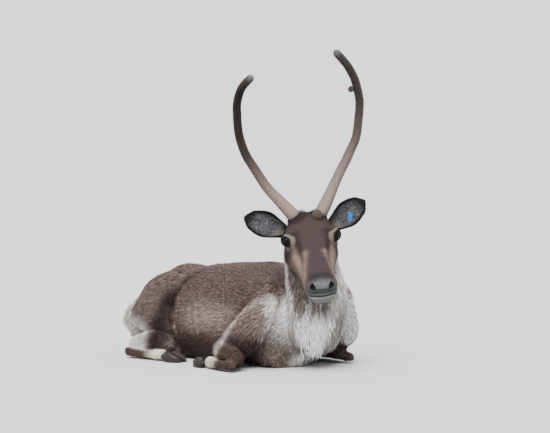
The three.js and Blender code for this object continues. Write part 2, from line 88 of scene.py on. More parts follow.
# Rows are the head's leftward, backward and upward directions: a heading, pitched down and rolled about
# the nose.
def headAxes():
    turn, pitch, roll = (math.radians(pose[k]) for k in ("headTurn", "headPitch", "headRoll"))
    nose = np.array([-math.sin(turn) * math.cos(pitch), -math.cos(turn) * math.cos(pitch), -math.sin(pitch)])
    level = np.array([math.cos(turn), -math.sin(turn), 0])
    left = level * math.cos(roll) + np.cross(nose, level) * math.sin(roll)
    return np.stack([left, -nose, np.cross(nose, left)])


headFrame = headAxes()
headPlace = np.array(pose["headPlace"], float)


# Head coordinates to the part's, by the three head axes.
def fromHead(points):
    return headPlace + np.asarray(points, float) @ headFrame


# The part's coordinates to the head's.
def toHead(points):
    return (points - headPlace) @ headFrame.T


# Long forms: each station is a centre x, y, z, a half width, a rise above it and a drop below it, in
# millimetres. Where a row is short, the rise is the half width, or the drop is the rise.
def withDrop(rows):
    filled = []
    for row in rows:
        row = list(row) + [row[3]] * (len(row) == 4)
        filled.append(row + [row[4]] * (len(row) == 5))
    return np.array(filled, float)


trunk = {
    "sections": [
        # y, top, half width, height of the widest part
        (-458, 165, 66, 100), (-422, 232, 108, 118), (-360, 296, 142, 130), (-250, 352, 162, 140),
        (-120, 348, 174, 140), (10, 340, 182, 130), (110, 325, 176, 130), (195, 336, 158, 140),
        (262, 308, 142, 142), (326, 250, 124, 124), (378, 190, 104, 104), (420, 144, 80, 92),
        (446, 108, 56, 78),
    ],
    "sink": 26,
}
neck = {
    "stations": [
        (62, -398, 56, 78, 66, 60), (54, -438, 116, 91, 92, 84), (42, -466, 188, 98, 104, 94),
        (24, -486, 262, 95, 100, 90), (8, -482, 335, 86, 94, 84),
        (*fromHead((0, 68, -58)), 76, 78, 78), (*fromHead((0, 84, -14)), 52, 50, 50),
    ],
    "maneTurn": 1.5 * math.pi + 0.45,
    "whiteTurn": 1.5 * math.pi + 0.38,
}
legs = {
    "foreleg_upper": [
        (92, -384, 304, 26, 34, 50), (108, -394, 256, 40, 42, 62), (126, -386, 208, 48, 52, 72),
        (150, -350, 152, 54, 56, 100), (170, -294, 98, 51, 62, 82), (186, -176, 46, 40, 46, 36),
    ],
    "foreleg_forearm": [
        (192, -180, 54, 36, 44), (206, -262, 54, 38, 42), (222, -350, 48, 29, 32), (236, -430, 40, 29, 31),
    ],
    "foreleg_cannon": [
        (248, -446, 26, 22, 21), (262, -380, 20, 17, 18), (266, -310, 19, 17, 18),
        (262, -268, 21, 22, 21), (256, -228, 24, 21, 20),
    ],
    "hindleg_thigh": [
        (80, 186, 304, 34, 52, 52), (112, 176, 252, 52, 92, 104), (146, 196, 190, 56, 112, 116),
        (170, 214, 130, 54, 120, 124), (180, 222, 84, 44, 104, 114),
    ],
    "hindleg_shank": [
        (186, 108, 64, 42, 46), (192, 168, 62, 44, 47), (194, 245, 54, 30, 37), (190, 312, 44, 27, 35),
    ],
    "hindleg_cannon": [
        (206, 322, 28, 24, 26), (222, 262, 22, 18, 20), (230, 172, 20, 17, 18),
        (230, 112, 22, 22, 21), (224, 72, 24, 21, 20),
    ],
}
lowerShift = {1: (-30, 50), -1: (-14, 4)}
upperShift = {1: (30, -40, 26), -1: (-8, 0, 0)}  # outward, and back at the top and at the elbow
headSections = [
    # y, top, chin, half width
    (-223, 14, -32, 34), (-211, 28, -58, 50), (-184, 34, -70, 54), (-140, 36, -77, 54), (-92, 40, -89, 62),
    (-42, 49, -99, 74), (5, 58, -106, 87), (47, 64, -100, 84), (90, 57, -78, 64), (124, 28, -46, 42),
]
eye = {"place": (76, -1, 24), "radius": 17.0, "cornea": 1.6, "pupil": (32, 20)}
# Swellings of the head: place, reach and push
headSwellings = [
    ((74, 8, 42), (28, 40, 20), (9, 0, 9)),
    ((80, -14, -6), (24, 32, 14), (5, 0, -1)),
    ((70, -12, -66), (34, 48, 36), (12, 0, 0)),
    ((50, -78, 14), (24, 44, 22), (-10, 0, -2)),
    ((0, -15, 60), (26, 40, 30), (0, 0, -5)),
    ((31, -211, 16), (17, 20, 16), (7, -5, 4)),
    ((0, -223, 4), (18, 16, 18), (0, -5, 2)),
    ((26, -211, -42), (22, 20, 11), (3, -4, 0)),
]


# The eye's place on its side of the head.
def eyeCentre(side):
    return np.array(eye["place"], float) * (side, 1, 1)


# Moves a limb's rows to its side and by its own shift.
def placed(limb, side, rows):
    rows = withDrop(rows)
    out, back = lowerShift[side] if limb.startswith("foreleg") else (0, 0)
    if limb == "foreleg_upper":
        out, top, elbow = upperShift[side]
        back = top + (elbow - top) * (262 - rows[:, 2]) / 216
    rows[:, 0] = side * (rows[:, 0] + out)
    rows[:, 1] += back
    return rows


# Every fleshy form: its stations, the direction its rise looks to, how its ends close and how far the
# skin lies inside.
def makeForms():
    trunkRows = [
        (0, y, waist, half, top - waist, waist + trunk["sink"]) for y, top, half, waist in trunk["sections"]
    ]
    headRows = [
        (0, y, (top + chin) / 2 + 8, half, (top - chin) / 2 - 8, (top - chin) / 2 + 8)
        for y, top, chin, half in headSections
    ]
    tailRows = [(0, 372, 206, 22, 14), (-4, 410, 174, 30, 16), (-8, 440, 128, 28, 16), (-10, 452, 88, 14, 10)]
    made = {
        "trunk": dict(rows=withDrop(trunkRows), ends=(0.05, 0.06), square=2.25, inset=12),
        "neck": dict(
            rows=withDrop(neck["stations"]), up=(0.5, 0.86, 0), ends=(0.2, 0.12), warp="none", inset=9
        ),
        "head": dict(rows=withDrop(headRows), ends=(0.07, 0.12), square=2.35, warp="head", inset=3),
        "tail": dict(rows=withDrop(tailRows), up=(0, 1, 0.6), ends=(0.2, 0.2), inset=5),
    }
    insets = {"upper": 11, "forearm": 6, "thigh": 11, "shank": 7, "cannon": 3.5}
    for side, sideName in sideNames.items():
        for limb, rows in legs.items():
            wide = limb in ("foreleg_upper", "hindleg_thigh")
            made[f"{limb}_{sideName}"] = dict(
                rows=placed(limb, side, rows),
                up=(0, 1, 0) if wide else (0, 0, 1),
                ends=(0.24, 0.24) if wide else (0.14, 0.14),
                inset=insets[limb.split("_")[1]],
            )
    return made


# A monotone cubic through values at knots: the slope at each knot is the harmonic mean of the steps
# beside it.
def smoothTrack(knots, values, t):
    steps = np.diff(values) / np.diff(knots)
    product = steps[:-1] * steps[1:]
    total = np.where(product > 0, steps[:-1] + steps[1:], 1)
    slopes = np.concatenate([steps[:1], np.where(product > 0, 2 * product / total, 0), steps[-1:]])
    i = np.clip(np.searchsorted(knots, t, side="right") - 1, 0, len(steps) - 1)
    span = knots[i + 1] - knots[i]
    s = (t - knots[i]) / span
    keep = 1 + s * s * (2 * s - 3)
    bow = span * s * (1 - s) * (slopes[i] * (1 - s) - slopes[i + 1] * s)
    return keep * values[i] + (1 - keep) * values[i + 1] + bow


# At each t the centre, the ahead, side and above directions, and the half width, rise and drop.
def formFrame(form, t):
    rows = form["rows"]
    lengths = np.linalg.norm(np.diff(rows[:, :3], axis=0), axis=1)
    knots = np.concatenate([[0], np.cumsum(lengths)]) / lengths.sum()

    def centre(s):
        return np.stack([smoothTrack(knots, rows[:, k], s) for k in range(3)], -1)

    ahead = unit(centre(np.minimum(1, t + 0.02)) - centre(np.maximum(0, t - 0.02)))
    side = unit(np.cross(ahead, np.array(form.get("up", (0, 0, 1)), float)))
    above = np.cross(side, ahead)
    return centre(t), ahead, side, above, *(smoothTrack(knots, rows[:, k], t) for k in (3, 4, 5))


# From a form's own space to the part's: round the bent spine, by the head's axes, or as it is.
def toRow(form, points):
    warp = form.get("warp", "spine")
    return bendSpine(points) if warp == "spine" else fromHead(points) if warp == "head" else points


# The reverse of toRow.
def toForm(form, points):
    warp = form.get("warp", "spine")
    return straighten(points) if warp == "spine" else toHead(points) if warp == "head" else points


# Adds to each head point the pushes of all swellings, each falling off as a bell curve of its reach, on
# both sides.
def swellHead(points):
    moved = points.copy()
    for place, reach, push in headSwellings:
        for side in (1, -1) if place[0] else (1,):
            away = (points - np.array([side * place[0], *place[1:]])) / np.array(reach)
            near = np.exp(-(away**2).sum(-1, keepdims=True))
            moved += near * np.array([side * push[0], *push[1:]])
    return moved


# Cosine and sine, each raised to 2 / square with its sign kept.
def superellipse(angle, square):
    return [np.sign(wave) * np.abs(wave) ** (2 / square) for wave in (np.cos(angle), np.sin(angle))]


# Centre + side x cos x half + above x sin x rise or drop, squared a little, closed as a quarter ellipse
# at both ends.
def formSurface(form, t, angle, inset):
    centre, ahead, side, above, half, rise, drop = formFrame(form, t)
    start = np.minimum(1, t / form["ends"][0])
    end = np.minimum(1, (1 - t) / form["ends"][1])
    cap = np.sqrt(np.maximum(0, (1 - (1 - start) ** 2) * (1 - (1 - end) ** 2)))
    cos, sin = superellipse(angle, form.get("square", 2.2))
    tall = np.where(sin > 0, rise, drop)
    points = centre - (inset * (2 * t - 1))[..., None] * ahead
    points = points + (cos * np.maximum(half - inset, 2) * cap)[..., None] * side
    points = points + (sin * np.maximum(tall - inset, 2) * cap)[..., None] * above
    if form.get("warp") == "head":
        points = swellHead(points)
    return toRow(form, points)


# Four-sided faces of a grid whose columns close into a ring.
def gridFaces(rows, columns):
    r, c = np.meshgrid(np.arange(rows - 1), np.arange(columns), indexing="ij")
    first = r * columns + c
    second = r * columns + (c + 1) % columns
    return np.stack([first, second, second + columns, first + columns], -1).reshape(-1, 4)


# The t of each of a tube's rings, spaced as half a cosine, and the angles round it.
def tubeSteps(rows, columns):
    t = (1 - np.cos(np.linspace(0, math.pi, rows + 2)[1:-1])) / 2
    return t, np.arange(columns) * 2 * math.pi / columns


# Vertices and faces of a closed surface place(t, angle): rings between two poles.
def tube(place, rows, columns):
    tt, aa = np.meshgrid(*tubeSteps(rows, columns), indexing="ij")
    ends = place(np.array([0.0, 1.0]), np.array([0.0, 0.0]))
    points = np.concatenate([place(tt, aa).reshape(-1, 3), ends])
    ring = np.arange(columns)
    following = (ring + 1) % columns
    last = (rows - 1) * columns
    bottom = np.stack([following, ring, np.full(columns, rows * columns)], -1)
    top = np.stack([last + ring, last + following, np.full(columns, rows * columns + 1)], -1)
    return points, gridFaces(rows, columns), np.concatenate([bottom, top])


# An ellipsoid with its axes along the part's.
def ball(centre, radii, rows=28, columns=32):

    def place(t, angle):
        polar = math.pi * t
        ring = np.stack([np.sin(polar) * np.cos(angle), np.sin(polar) * np.sin(angle), -np.cos(polar)], -1)
        return centre + ring * np.array(radii, float)

    return tube(place, rows, columns)


# Points, four-sided and three-sided faces of several parts as one set.
def joinParts(parts):
    starts = np.cumsum([0] + [len(made) for made, four, three in parts])
    points = np.concatenate([made for made, four, three in parts])
    fours = np.concatenate([four + start for (made, four, three), start in zip(parts, starts)])
    threes = np.concatenate([three + start for (made, four, three), start in zip(parts, starts)])
    return points, fours, threes


# A mesh from points in millimetres and any number of face arrays, each with one number of corners.
def meshFrom(name, points, *faceSets):
    mesh = bpy.data.meshes.new(name)
    sizes = np.concatenate([np.full(len(f), f.shape[1]) for f in faceSets])
    corners = np.concatenate([f.ravel() for f in faceSets])
    mesh.vertices.add(len(points))
    mesh.vertices.foreach_set("co", (points * mm).astype(np.float32).ravel())
    mesh.loops.add(len(corners))
    mesh.loops.foreach_set("vertex_index", corners.astype(np.int32))
    mesh.polygons.add(len(sizes))
    starts = np.concatenate([[0], np.cumsum(sizes)[:-1]])
    mesh.polygons.foreach_set("loop_start", starts.astype(np.int32))
    mesh.polygons.foreach_set("use_smooth", np.ones(len(sizes), bool))
    mesh.update(calc_edges=True)
    return mesh


# An object of a mesh, in the scene.
def addObject(mesh, material=None):
    made = bpy.data.objects.new(mesh.name, mesh)
    bpy.context.scene.collection.objects.link(made)
    if material:
        mesh.materials.append(material)
    return made


# The mesh that an object has with its modifiers applied. The object itself goes.
def applied(source):
    graph = bpy.context.evaluated_depsgraph_get()
    made = bpy.data.meshes.new_from_object(source.evaluated_get(graph))
    bpy.data.objects.remove(source)
    return made


# One property of every item, as rows of width numbers.
def readRows(items, key, width, kind=np.float32):
    rows = np.empty(len(items) * width, kind)
    items.foreach_get(key, rows)
    return rows.reshape(-1, width)


# The vertices in millimetres.
def readPoints(mesh):
    return readRows(mesh.vertices, "co", 3).astype(float) / mm


# Moves the vertices to points in millimetres.
def writePoints(mesh, points):
    mesh.vertices.foreach_set("co", (points * mm).astype(np.float32).ravel())
    mesh.update()


# The normal at each vertex.
def readNormals(mesh):
    return readRows(mesh.vertices, "normal", 3).astype(float)


# The two ends of each edge.
def readEdges(mesh):
    return readRows(mesh.edges, "vertices", 2, np.int32)


# Moves each vertex's value towards the mean of its neighbours, by amount, as many rounds as asked.
def spread(values, edges, amount, rounds):
    count = len(values)
    ends = np.concatenate([edges[:, 0], edges[:, 1]])
    others = np.concatenate([edges[:, 1], edges[:, 0]])
    share = np.maximum(np.bincount(ends, minlength=count), 1)[:, None]
    amount = np.broadcast_to(np.asarray(amount, float), (count,))[:, None]
    for _ in range(rounds):
        sums = [np.bincount(ends, values[others, k], count) for k in range(values.shape[1])]
        mean = np.stack(sums, -1) / share
        values = values + amount * (mean - values)
    return values


# 0 below low, 1 above high, and a cubic between.
def smoothStep(low, high, value):
    s = np.clip((value - low) / (high - low), 0, 1)
    return s * s * (3 - 2 * s)


# 1 at a place, falling off as a bell curve with its own reach along each axis.
def bell(points, place, reach):
    away = (points - np.array(place, float)) / np.array(reach, float)
    return np.exp(-(away**2).sum(-1))


# 1 on the line from a to b, falling off as a bell curve of the distance from it.
def along(points, a, b, reach):
    a, b = np.array(a, float), np.array(b, float)
    s = np.clip((points - a) @ (b - a) / ((b - a) @ (b - a)), 0, 1)
    away = np.linalg.norm(points - a - s[:, None] * (b - a), axis=1) / reach
    return np.exp(-(away**2))


# A smooth unevenness from -1 to 1: the product of slanted waves of three lengths.
def mottle(points, size):
    x, y, z = points.T / size
    first = np.sin(x * 1.3 + 2.1 * np.sin(y * 0.9 + z))
    return first * np.cos(y * 1.7 - 1.3 * np.sin(z * 1.1 - x)) * np.sin(z * 1.9 + x * 0.7 + 1)


# Directions laid on a surface: each less its part along the normal.
def laidOn(ways, normals):
    return unit(ways - normals * (ways * normals).sum(1, keepdims=True))


# Skin: the forms joined, made one surface and blended where they meet
skinLook = {
    "voxel": 4.8,
    "floor": 3.0,
    "blendRounds": 60,
    "evenRounds": 8,
    "kept": 0.52,  # share of the faces left once the skin is thinned under the coat
    # Folds of the flank: from and to along and up it, reach and depth
    "folds": [
        ((50, 296), (96, 262), 13, 12),
        ((96, 262), (112, 190), 13, 20),
        ((112, 190), (112, 50), 13, 26),
        ((-345, 240), (-150, 84), 14, 10),
    ],
}
forms = makeForms()


# For each point the form's nearest place t, the angle round it there, and its distance as a share of the
# form's radius.
def near(form, points, samples=40):
    t = np.linspace(0.02, 0.98, samples)
    centre, ahead, side, above, half, rise, drop = formFrame(form, t)
    local = toForm(form, points)
    apart = (local**2).sum(1)[:, None] - 2 * local @ centre.T + (centre**2).sum(1)
    i = apart.argmin(1)
    off = local - centre[i]
    across = (off * side[i]).sum(1)
    high = (off * above[i]).sum(1)
    onward = (off * ahead[i]).sum(1)
    tall = np.where(high > 0, rise[i], drop[i])
    share = np.sqrt((across / half[i]) ** 2 + (high / tall) ** 2 + (onward / (half[i] + tall)) ** 2 * 4)
    return t[i], np.arctan2(high / tall, across / half[i]), share


# One mesh of all forms, each a closed tube, and of a ball round each eye for the lids, remeshed by voxels
# into a single closed skin.
def joinForms():
    parts = [
        tube(lambda t, angle: formSurface(form, t, angle, form["inset"]), 64, 48) for form in forms.values()
    ]
    parts += [ball(fromHead(eyeCentre(side)), [face["orbit"]] * 3) for side in sideNames]
    source = addObject(meshFrom("skinForms", *joinParts(parts)))
    remesh = source.modifiers.new("oneSkin", "REMESH")
    remesh.mode = "VOXEL"
    remesh.voxel_size = skinLook["voxel"] * mm
    joined = applied(source)
    joined.name = "joinedForms"
    return joined


# Presses the fold before the thigh into each flank and the furrow behind the upper foreleg, as bell curves
# of the distance from a line along and up the flank.
def foldFlank(points):
    straight = straighten(points)
    outer = np.abs(straight[:, 0]) > 90
    press = np.zeros(len(points))
    for a, b, reach, depth in skinLook["folds"]:
        press += depth * along(straight[:, 1:], a, b, reach) * outer
    straight[:, 0] -= np.sign(straight[:, 0]) * press
    return bendSpine(straight)


# Relaxes the skin most where two forms are equally near, then evens it out with a shrink and a swell in
# turn.
def blendJoins(mesh):
    points, edges = readPoints(mesh), readEdges(mesh)
    shares = np.stack([near(form, points)[2] for form in forms.values()])
    two = np.sort(shares, axis=0)[:2]
    headShare = shares[list(forms).index("head")]
    join = np.exp(-(((two[1] - two[0]) / 0.3) ** 2)) * np.clip((headShare - 0.95) / 0.3, 0, 1)
    join = spread(join[:, None], edges, 0.5, 10)[:, 0]
    points = spread(points, edges, 0.5 * join, skinLook["blendRounds"])
    points = foldFlank(points)
    for _ in range(skinLook["evenRounds"]):
        points = spread(points, edges, 0.5, 1)
        points = spread(points, edges, -0.51, 1)
    floor = skinLook["floor"]
    low = points[:, 2] < floor + 6
    points[low, 2] = floor + 6 * np.exp((points[low, 2] - floor - 6) / 6)
    writePoints(mesh, points)


# Cuts every edge whose two ends are chosen in half, and the faces between them into four.
def refine(mesh, chosen):
    work = bmesh.new()
    work.from_mesh(mesh)
    work.verts.ensure_lookup_table()
    picked = [e for e in work.edges if chosen[e.verts[0].index] and chosen[e.verts[1].index]]
    bmesh.ops.subdivide_edges(work, edges=picked, cuts=1, use_grid_fill=True)
    work.to_mesh(mesh)
    work.free()


# Head: sockets and lids, nostrils, the line of the mouth with its lips, and the folds of the face
face = {
    "gaze": (0.64, -0.69, 0.34),
    "orbit": 21.5,
    "lidFront": 56.0,
    "lidRear": 50.0,
    "lidUpper": 42.0,
    "lidLower": 36.0,
    "lidThick": 1.9,
    "nostril": (32, -214, 12),
    "nostrilLong": 9.5,
    "nostrilWide": 6.5,
    "nostrilDeep": 10.0,
    "mouthFront": -11.0,
    "mouthSlope": -0.2,
    "mouthDeep": 4.5,
    # Folds on both sides: push outward, place and reach
    "folds": [
        (2.0, (66, 22, 46), (14, 26, 10)),
        (-2.2, (70, -46, 8), (7, 16, 4)),
        (-3.0, (46, -150, -10), (16, 40, 12)),
        (-5.0, (80, 4, -36), (34, 54, 34)),
        (-2.5, (74, 30, -30), (14, 30, 20)),
        (-2.0, (26, -60, 46), (12, 40, 14)),
    ],
}


# The eye's gaze, its direction along the lids towards the nose, and up across them.
def eyeAxes(side):
    gaze = unit(np.array(face["gaze"]) * (side, 1, 1))
    forward = np.array([0.0, -1.0, -0.34])
    forward = unit(forward - gaze * (forward @ gaze))
    above = np.cross(gaze, forward)
    return gaze, forward, above * np.sign(above[2])


# Distance from the eye's middle, how far out a point is across the almond between the lids, 1 at their
# edge, and how far it lies along the gaze.
def lidOpening(points, side):
    gaze, forward, above = eyeAxes(side)
    off = points - eyeCentre(side)
    out = off @ gaze
    a = np.degrees(np.arctan2(off @ forward, out))
    a = a / np.where(a > 0, face["lidFront"], face["lidRear"])
    b = np.degrees(np.arctan2(off @ above, out))
    b = b / np.where(b > 0, face["lidUpper"], face["lidLower"])
    return np.linalg.norm(off, axis=-1), np.sqrt(np.abs(a) ** 2.6 + b**2), out


# How deep in the nostril a point is, from 0 to 1, its squared share of the slanted oval, and the way in.
def nostrilShape(points, side):
    off = points - np.array(face["nostril"], float) * (side, 1, 1)
    longAxis = unit(np.array([side * 0.5, 0.2, 0.84]))
    inward = unit(np.array([-side * 0.3, 0.93, -0.1]))
    wideAxis = unit(np.cross(longAxis, inward))
    a = (off @ longAxis) / face["nostrilLong"]
    b = (off @ wideAxis + 2.5 * side * a * a * np.sign(wideAxis[0])) / face["nostrilWide"]
    return np.exp(-((a * a + b * b) ** 1.6)), a * a + b * b, inward


# Height of the cleft of the mouth: sloping down towards the throat and lifting a little at its corners.
def mouthHeight(points):
    back = points[..., 1] + 228
    return face["mouthFront"] + face["mouthSlope"] * back - 5.0 * (points[..., 0] / 45) ** 2


# Moves head points along their normals: lips and cleft, nostrils and their wings, folds, then the sockets
# and lids.
def sculptHead(points, normals):
    x, y, z = points.T
    across = np.abs(x)
    move = np.zeros(len(points))
    fromCleft = z - mouthHeight(points)
    front = smoothStep(-150, -172, y) * (normals[:, 2] < 0.75)
    move -= face["mouthDeep"] * np.exp(-((fromCleft / 2.3) ** 2)) * front
    move += 2.2 * np.exp(-(((fromCleft + 8) / 5) ** 2)) * front
    move += 1.4 * np.exp(-(((fromCleft - 6) / 4) ** 2)) * front
    groove = np.exp(-((x / 2.0) ** 2)) * smoothStep(-214, -222, y)
    move -= 2.0 * groove * smoothStep(-12, -4, z) * smoothStep(16, 6, z)
    mirrored = np.stack([across, y, z], -1)
    for push, place, reach in face["folds"]:
        move += push * bell(mirrored, place, reach)
    points = points + normals * move[:, None]
    points[:, 0] *= 1 - 0.2 * smoothStep(-14, -46, z) * smoothStep(-150, -200, y)
    for side in (1, -1):
        deep, ring, inward = nostrilShape(points, side)
        points = points + inward * (face["nostrilDeep"] * deep)[:, None]
        rim = 1.6 * np.exp(-(((np.sqrt(ring) - 1.6) / 0.4) ** 2)) * (points[:, 0] * side > 14)
        points = points - inward * rim[:, None]
        distance, opening, out = lidOpening(points, side)
        centre = eyeCentre(side)
        direction = unit(points - centre)
        radius = eye["radius"]
        lid = radius + 0.5 + face["lidThick"] * smoothStep(1.0, 1.12, opening)
        lid = np.where(opening < 1, radius - 4 * smoothStep(1, 0.84, opening), lid)
        take = smoothStep(2.0, 1.25, opening) * smoothStep(-2, 3, out) * smoothStep(36, 28, distance)
        slope = np.maximum(lid, np.minimum(distance, lid + 8 * (opening - 1.1)))
        target = np.where(opening > 1.1, slope, lid)
        moved = centre + direction * target[:, None]
        points = points + (moved - points) * take[:, None]
    return points


# The skin mesh: joined, blended, refined on the head, twice on its face, and sculpted there.
def makeSkin():
    mesh = joinForms()
    stage(f"skin joined, {len(mesh.polygons)} faces")
    blendJoins(mesh)
    stage("joins blended")
    head = toHead(readPoints(mesh))
    inHead = (head[:, 1] < 92) & (head[:, 1] > -260) & (np.abs(head[:, 0]) < 110)
    refine(mesh, inHead & (head[:, 2] > -112 + 0.1 * head[:, 1]))
    head = toHead(readPoints(mesh))
    muzzle = head[:, 1] < -150
    sockets = np.zeros(len(head), bool)
    for side in (1, -1):
        sockets |= np.linalg.norm(head - eyeCentre(side), axis=1) < 36
    refine(mesh, muzzle | sockets)
    points, edges = readPoints(mesh), readEdges(mesh)
    head = toHead(points)
    onHead = smoothStep(110, 70, head[:, 1]) * smoothStep(-125, -105, head[:, 2])
    points = spread(points, edges, 0.5 * onHead, 6)
    writePoints(mesh, points)
    normals = readNormals(mesh) @ headFrame.T
    head = toHead(points)
    sculpted = sculptHead(head, normals)
    moved = fromHead(head + (sculpted - head) * onHead[:, None])
    moved = spread(moved, edges, 0.25 * onHead, 1)
    writePoints(mesh, moved)
    stage(f"head sculpted, {len(mesh.polygons)} faces")
    return mesh


# Colours of the coat, all linear, and where they lie
tones = {
    "saddle": (0.102, 0.070, 0.066),
    "back": (0.113, 0.083, 0.083),
    "flankPale": (0.296, 0.233, 0.207),
    # dark coat low on the flank, also used as painted shade in the fold before the thigh
    "flankDarkAndShade": (0.049, 0.033, 0.027),
    "belly": (0.013, 0.008, 0.008),
    "shoulder": (0.640, 0.622, 0.612),
    "chest": (0.161, 0.130, 0.115),
    "hip": (0.097, 0.066, 0.064),
    "thigh": (0.126, 0.092, 0.089),
    # dark hair down the thigh's front, also painted shade there and in the fold before it
    "thighDarkAndShade": (0.012, 0.008, 0.008),
    "crease": (0.444, 0.373, 0.329),
    "rump": (0.554, 0.529, 0.487),
    # pale hair on the upper foreleg's rear edge, lighter there as painted light on the lit edge
    "band": (0.399, 0.354, 0.333),
    "arm": (0.154, 0.113, 0.102),
    # dark hair low on the upper foreleg, darkened further as painted shade
    "armDarkAndShade": (0.049, 0.034, 0.032),
    "legBrown": (0.052, 0.034, 0.030),
    "foot": (0.550, 0.520, 0.430),
    "mane": (0.960, 0.960, 0.970),
    "throat": (0.112, 0.091, 0.082),
    "neckSide": (0.595, 0.577, 0.565),
    "nape": (0.074, 0.049, 0.045),
    "head": (0.029, 0.0195, 0.019),
    "crown": (0.025, 0.018, 0.017),
    "browDark": (0.006, 0.005, 0.005),
    "ring": (0.100, 0.088, 0.076),
    "rim": (0.004, 0.003, 0.003),
    "tan": (0.170, 0.116, 0.096),
    "bridge": (0.026, 0.0185, 0.023),
    "bandDark": (0.010, 0.009, 0.011),
    "muzzle": (0.035, 0.037, 0.040),
    "nosePad": (0.013, 0.016, 0.016),
    # near black: painted shade inside the nostrils and along the cleft of the mouth
    "nostril": (0.004, 0.003, 0.003),
    "lip": (0.110, 0.116, 0.112),
    "chin": (0.045, 0.039, 0.034),
    "wing": (0.037, 0.025, 0.032),
    "cheek": (0.170, 0.118, 0.099),
    "jaw": (0.092, 0.068, 0.059),
    "earBack": (0.040, 0.030, 0.028),
    "earRim": (0.013, 0.010, 0.011),
    "noseFur": (0.140, 0.150, 0.158),
    "upperLip": (0.048, 0.052, 0.050),
    "earInside": (0.045, 0.046, 0.052),
    "earRoot": (0.192, 0.170, 0.137),
    "earHair": (0.266, 0.266, 0.288),
    "iris": (0.004, 0.0024, 0.0018),
    "pupil": (0.002, 0.002, 0.002),
    "eyeEdge": (0.004, 0.003, 0.003),
}
# Marks on either flank: place and reach along and up, tone, strength
flankMarks = [
    (-60, 345, 230, 34, "back", 0.8),
    (168, 318, 60, 40, "hip", 0.9),
    (-345, 300, 70, 40, "thigh", 0.9),
    (-130, 168, 135, 42, "flankPale", 0.95),
    (-30, 150, 70, 60, "flankPale", 0.45),
    (-210, 118, 90, 60, "flankPale", 0.5),
    (-40, 78, 150, 34, "flankDarkAndShade", 0.9),
    (-60, 20, 300, 42, "belly", 0.8),
    (-452, 190, 40, 110, "shoulder", 0.95),
    (-396, 60, 60, 42, "chest", 0.9),
    (425, 84, 96, 92, "rump", 1.0),
]


# Mixes a tone over colours by an amount from 0 to 1 at each point.
def paint(colour, amount, tone):
    return colour + (np.array(tones[tone]) - colour) * np.clip(amount, 0, 1)[:, None]


# How much each form takes part at each point: a soft maximum over how near the forms are. Also each
# form's t and angle.
def mixAll(points):
    found = {name: near(form, points) for name, form in forms.items()}
    weights = np.stack([np.exp(-9 * found[name][2]) for name in forms])
    return found, dict(zip(forms, weights / weights.sum(0)))


# The saddle's brown, painted over with the flank's marks and the lines before the thigh: painted shade in the
# fold at its top, a pale line low down.
def trunkColour(points):
    flank = straighten(points)[:, 1:]
    colour = np.tile(tones["saddle"], (len(points), 1))
    for y, z, reachY, reachZ, tone, strength in flankMarks:
        away = ((flank[:, 0] - y) / reachY) ** 2 + ((flank[:, 1] - z) / reachZ) ** 2
        colour = paint(colour, strength * np.exp(-away), tone)
    # painted shade in the fold before the thigh, at the top of the flank
    colour = paint(colour, 0.8 * along(flank, (30, 300), (84, 286), 12), "flankDarkAndShade")
    return paint(colour, 0.8 * along(flank, (92, 120), (110, 30), 14), "crease")


# Brown with a nearly black band down its front, dark hair and painted shade on the face turned from the
# light, painted shade deepest in the fold, and white low behind the band.
def thighColour(points):
    flank = straighten(points)[:, 1:]
    colour = np.tile(tones["thigh"], (len(points), 1))
    fromHip = ((flank[:, 0] - 170) / 70) ** 2 + ((flank[:, 1] - 318) / 40) ** 2
    colour = paint(colour, 0.8 * np.exp(-fromHip), "hip")
    overEdge = flank[:, 1] - 128 - 0.30 * (flank[:, 0] - 200)
    white = smoothStep(34, -34, overEdge) * smoothStep(160, 215, flank[:, 0])
    colour = paint(colour, white, "rump")
    # the thigh's band: dark hair, with painted shade on its front face turned from the light
    band = np.maximum(along(flank, (118, 226), (138, 140), 30), along(flank, (138, 140), (140, 20), 36))
    colour = paint(colour, 0.9 * band, "thighDarkAndShade")
    # painted shade in the fold before the thigh
    colour = paint(colour, 0.85 * along(flank, (92, 272), (114, 205), 13), "thighDarkAndShade")
    return paint(colour, 0.85 * along(flank, (100, 110), (106, 24), 12), "crease")


# The pale band from the shoulder down the rear edge of the upper foreleg to its elbow: pale hair, with
# painted light along that lit edge.
def armBandPaleAndLit(points):
    flank = straighten(points)[:, 1:]
    upper = 0.7 * along(flank, (-418, 222), (-330, 166), 12)
    return np.maximum(upper, along(flank, (-330, 166), (-219, 44), 20))


# The upper foreleg: brown, darker below with dark hair and painted shade, with the pale band behind (pale
# hair with painted light along its edge) and the shoulder's grey round its front edge.
def armColour(points):
    x, y, z = straighten(points).T
    colour = np.tile(tones["arm"], (len(points), 1))
    colour = paint(colour, smoothStep(220, 260, z), "saddle")
    # lower part darker: dark hair and painted shade
    colour = paint(colour, smoothStep(142, 104, z), "armDarkAndShade")
    edge = np.where(x > 0, 216, 122)
    inside = smoothStep(edge + 22, edge - 26, np.abs(x) + 12 * mottle(points, 14))
    colour = paint(colour, inside * smoothStep(-385, -425, y) * smoothStep(262, 225, z), "shoulder")
    # the pale band: pale hair with painted light on the lit edge
    return paint(colour, 0.9 * armBandPaleAndLit(points), "band")


# Lower legs: brown forearms whose upper side takes the arm's pale band, partly painted light, dark and white
# shanks that carry on the thigh with its band of dark hair and painted shade, white feet.
def legColour(name, points, t):
    if "shank" in name:
        return thighColour(points)
    colour = np.tile(tones["legBrown"], (len(t), 1))
    if "cannon" in name:
        colour = paint(colour, smoothStep(0.45, 0.75, t), "foot")
        return paint(colour, 0.5 * smoothStep(0.3, 0, t), "armDarkAndShade")
    # the arm's pale band on the forearm's upper side: pale hair with painted light
    return paint(colour, 0.9 * armBandPaleAndLit(points), "band")


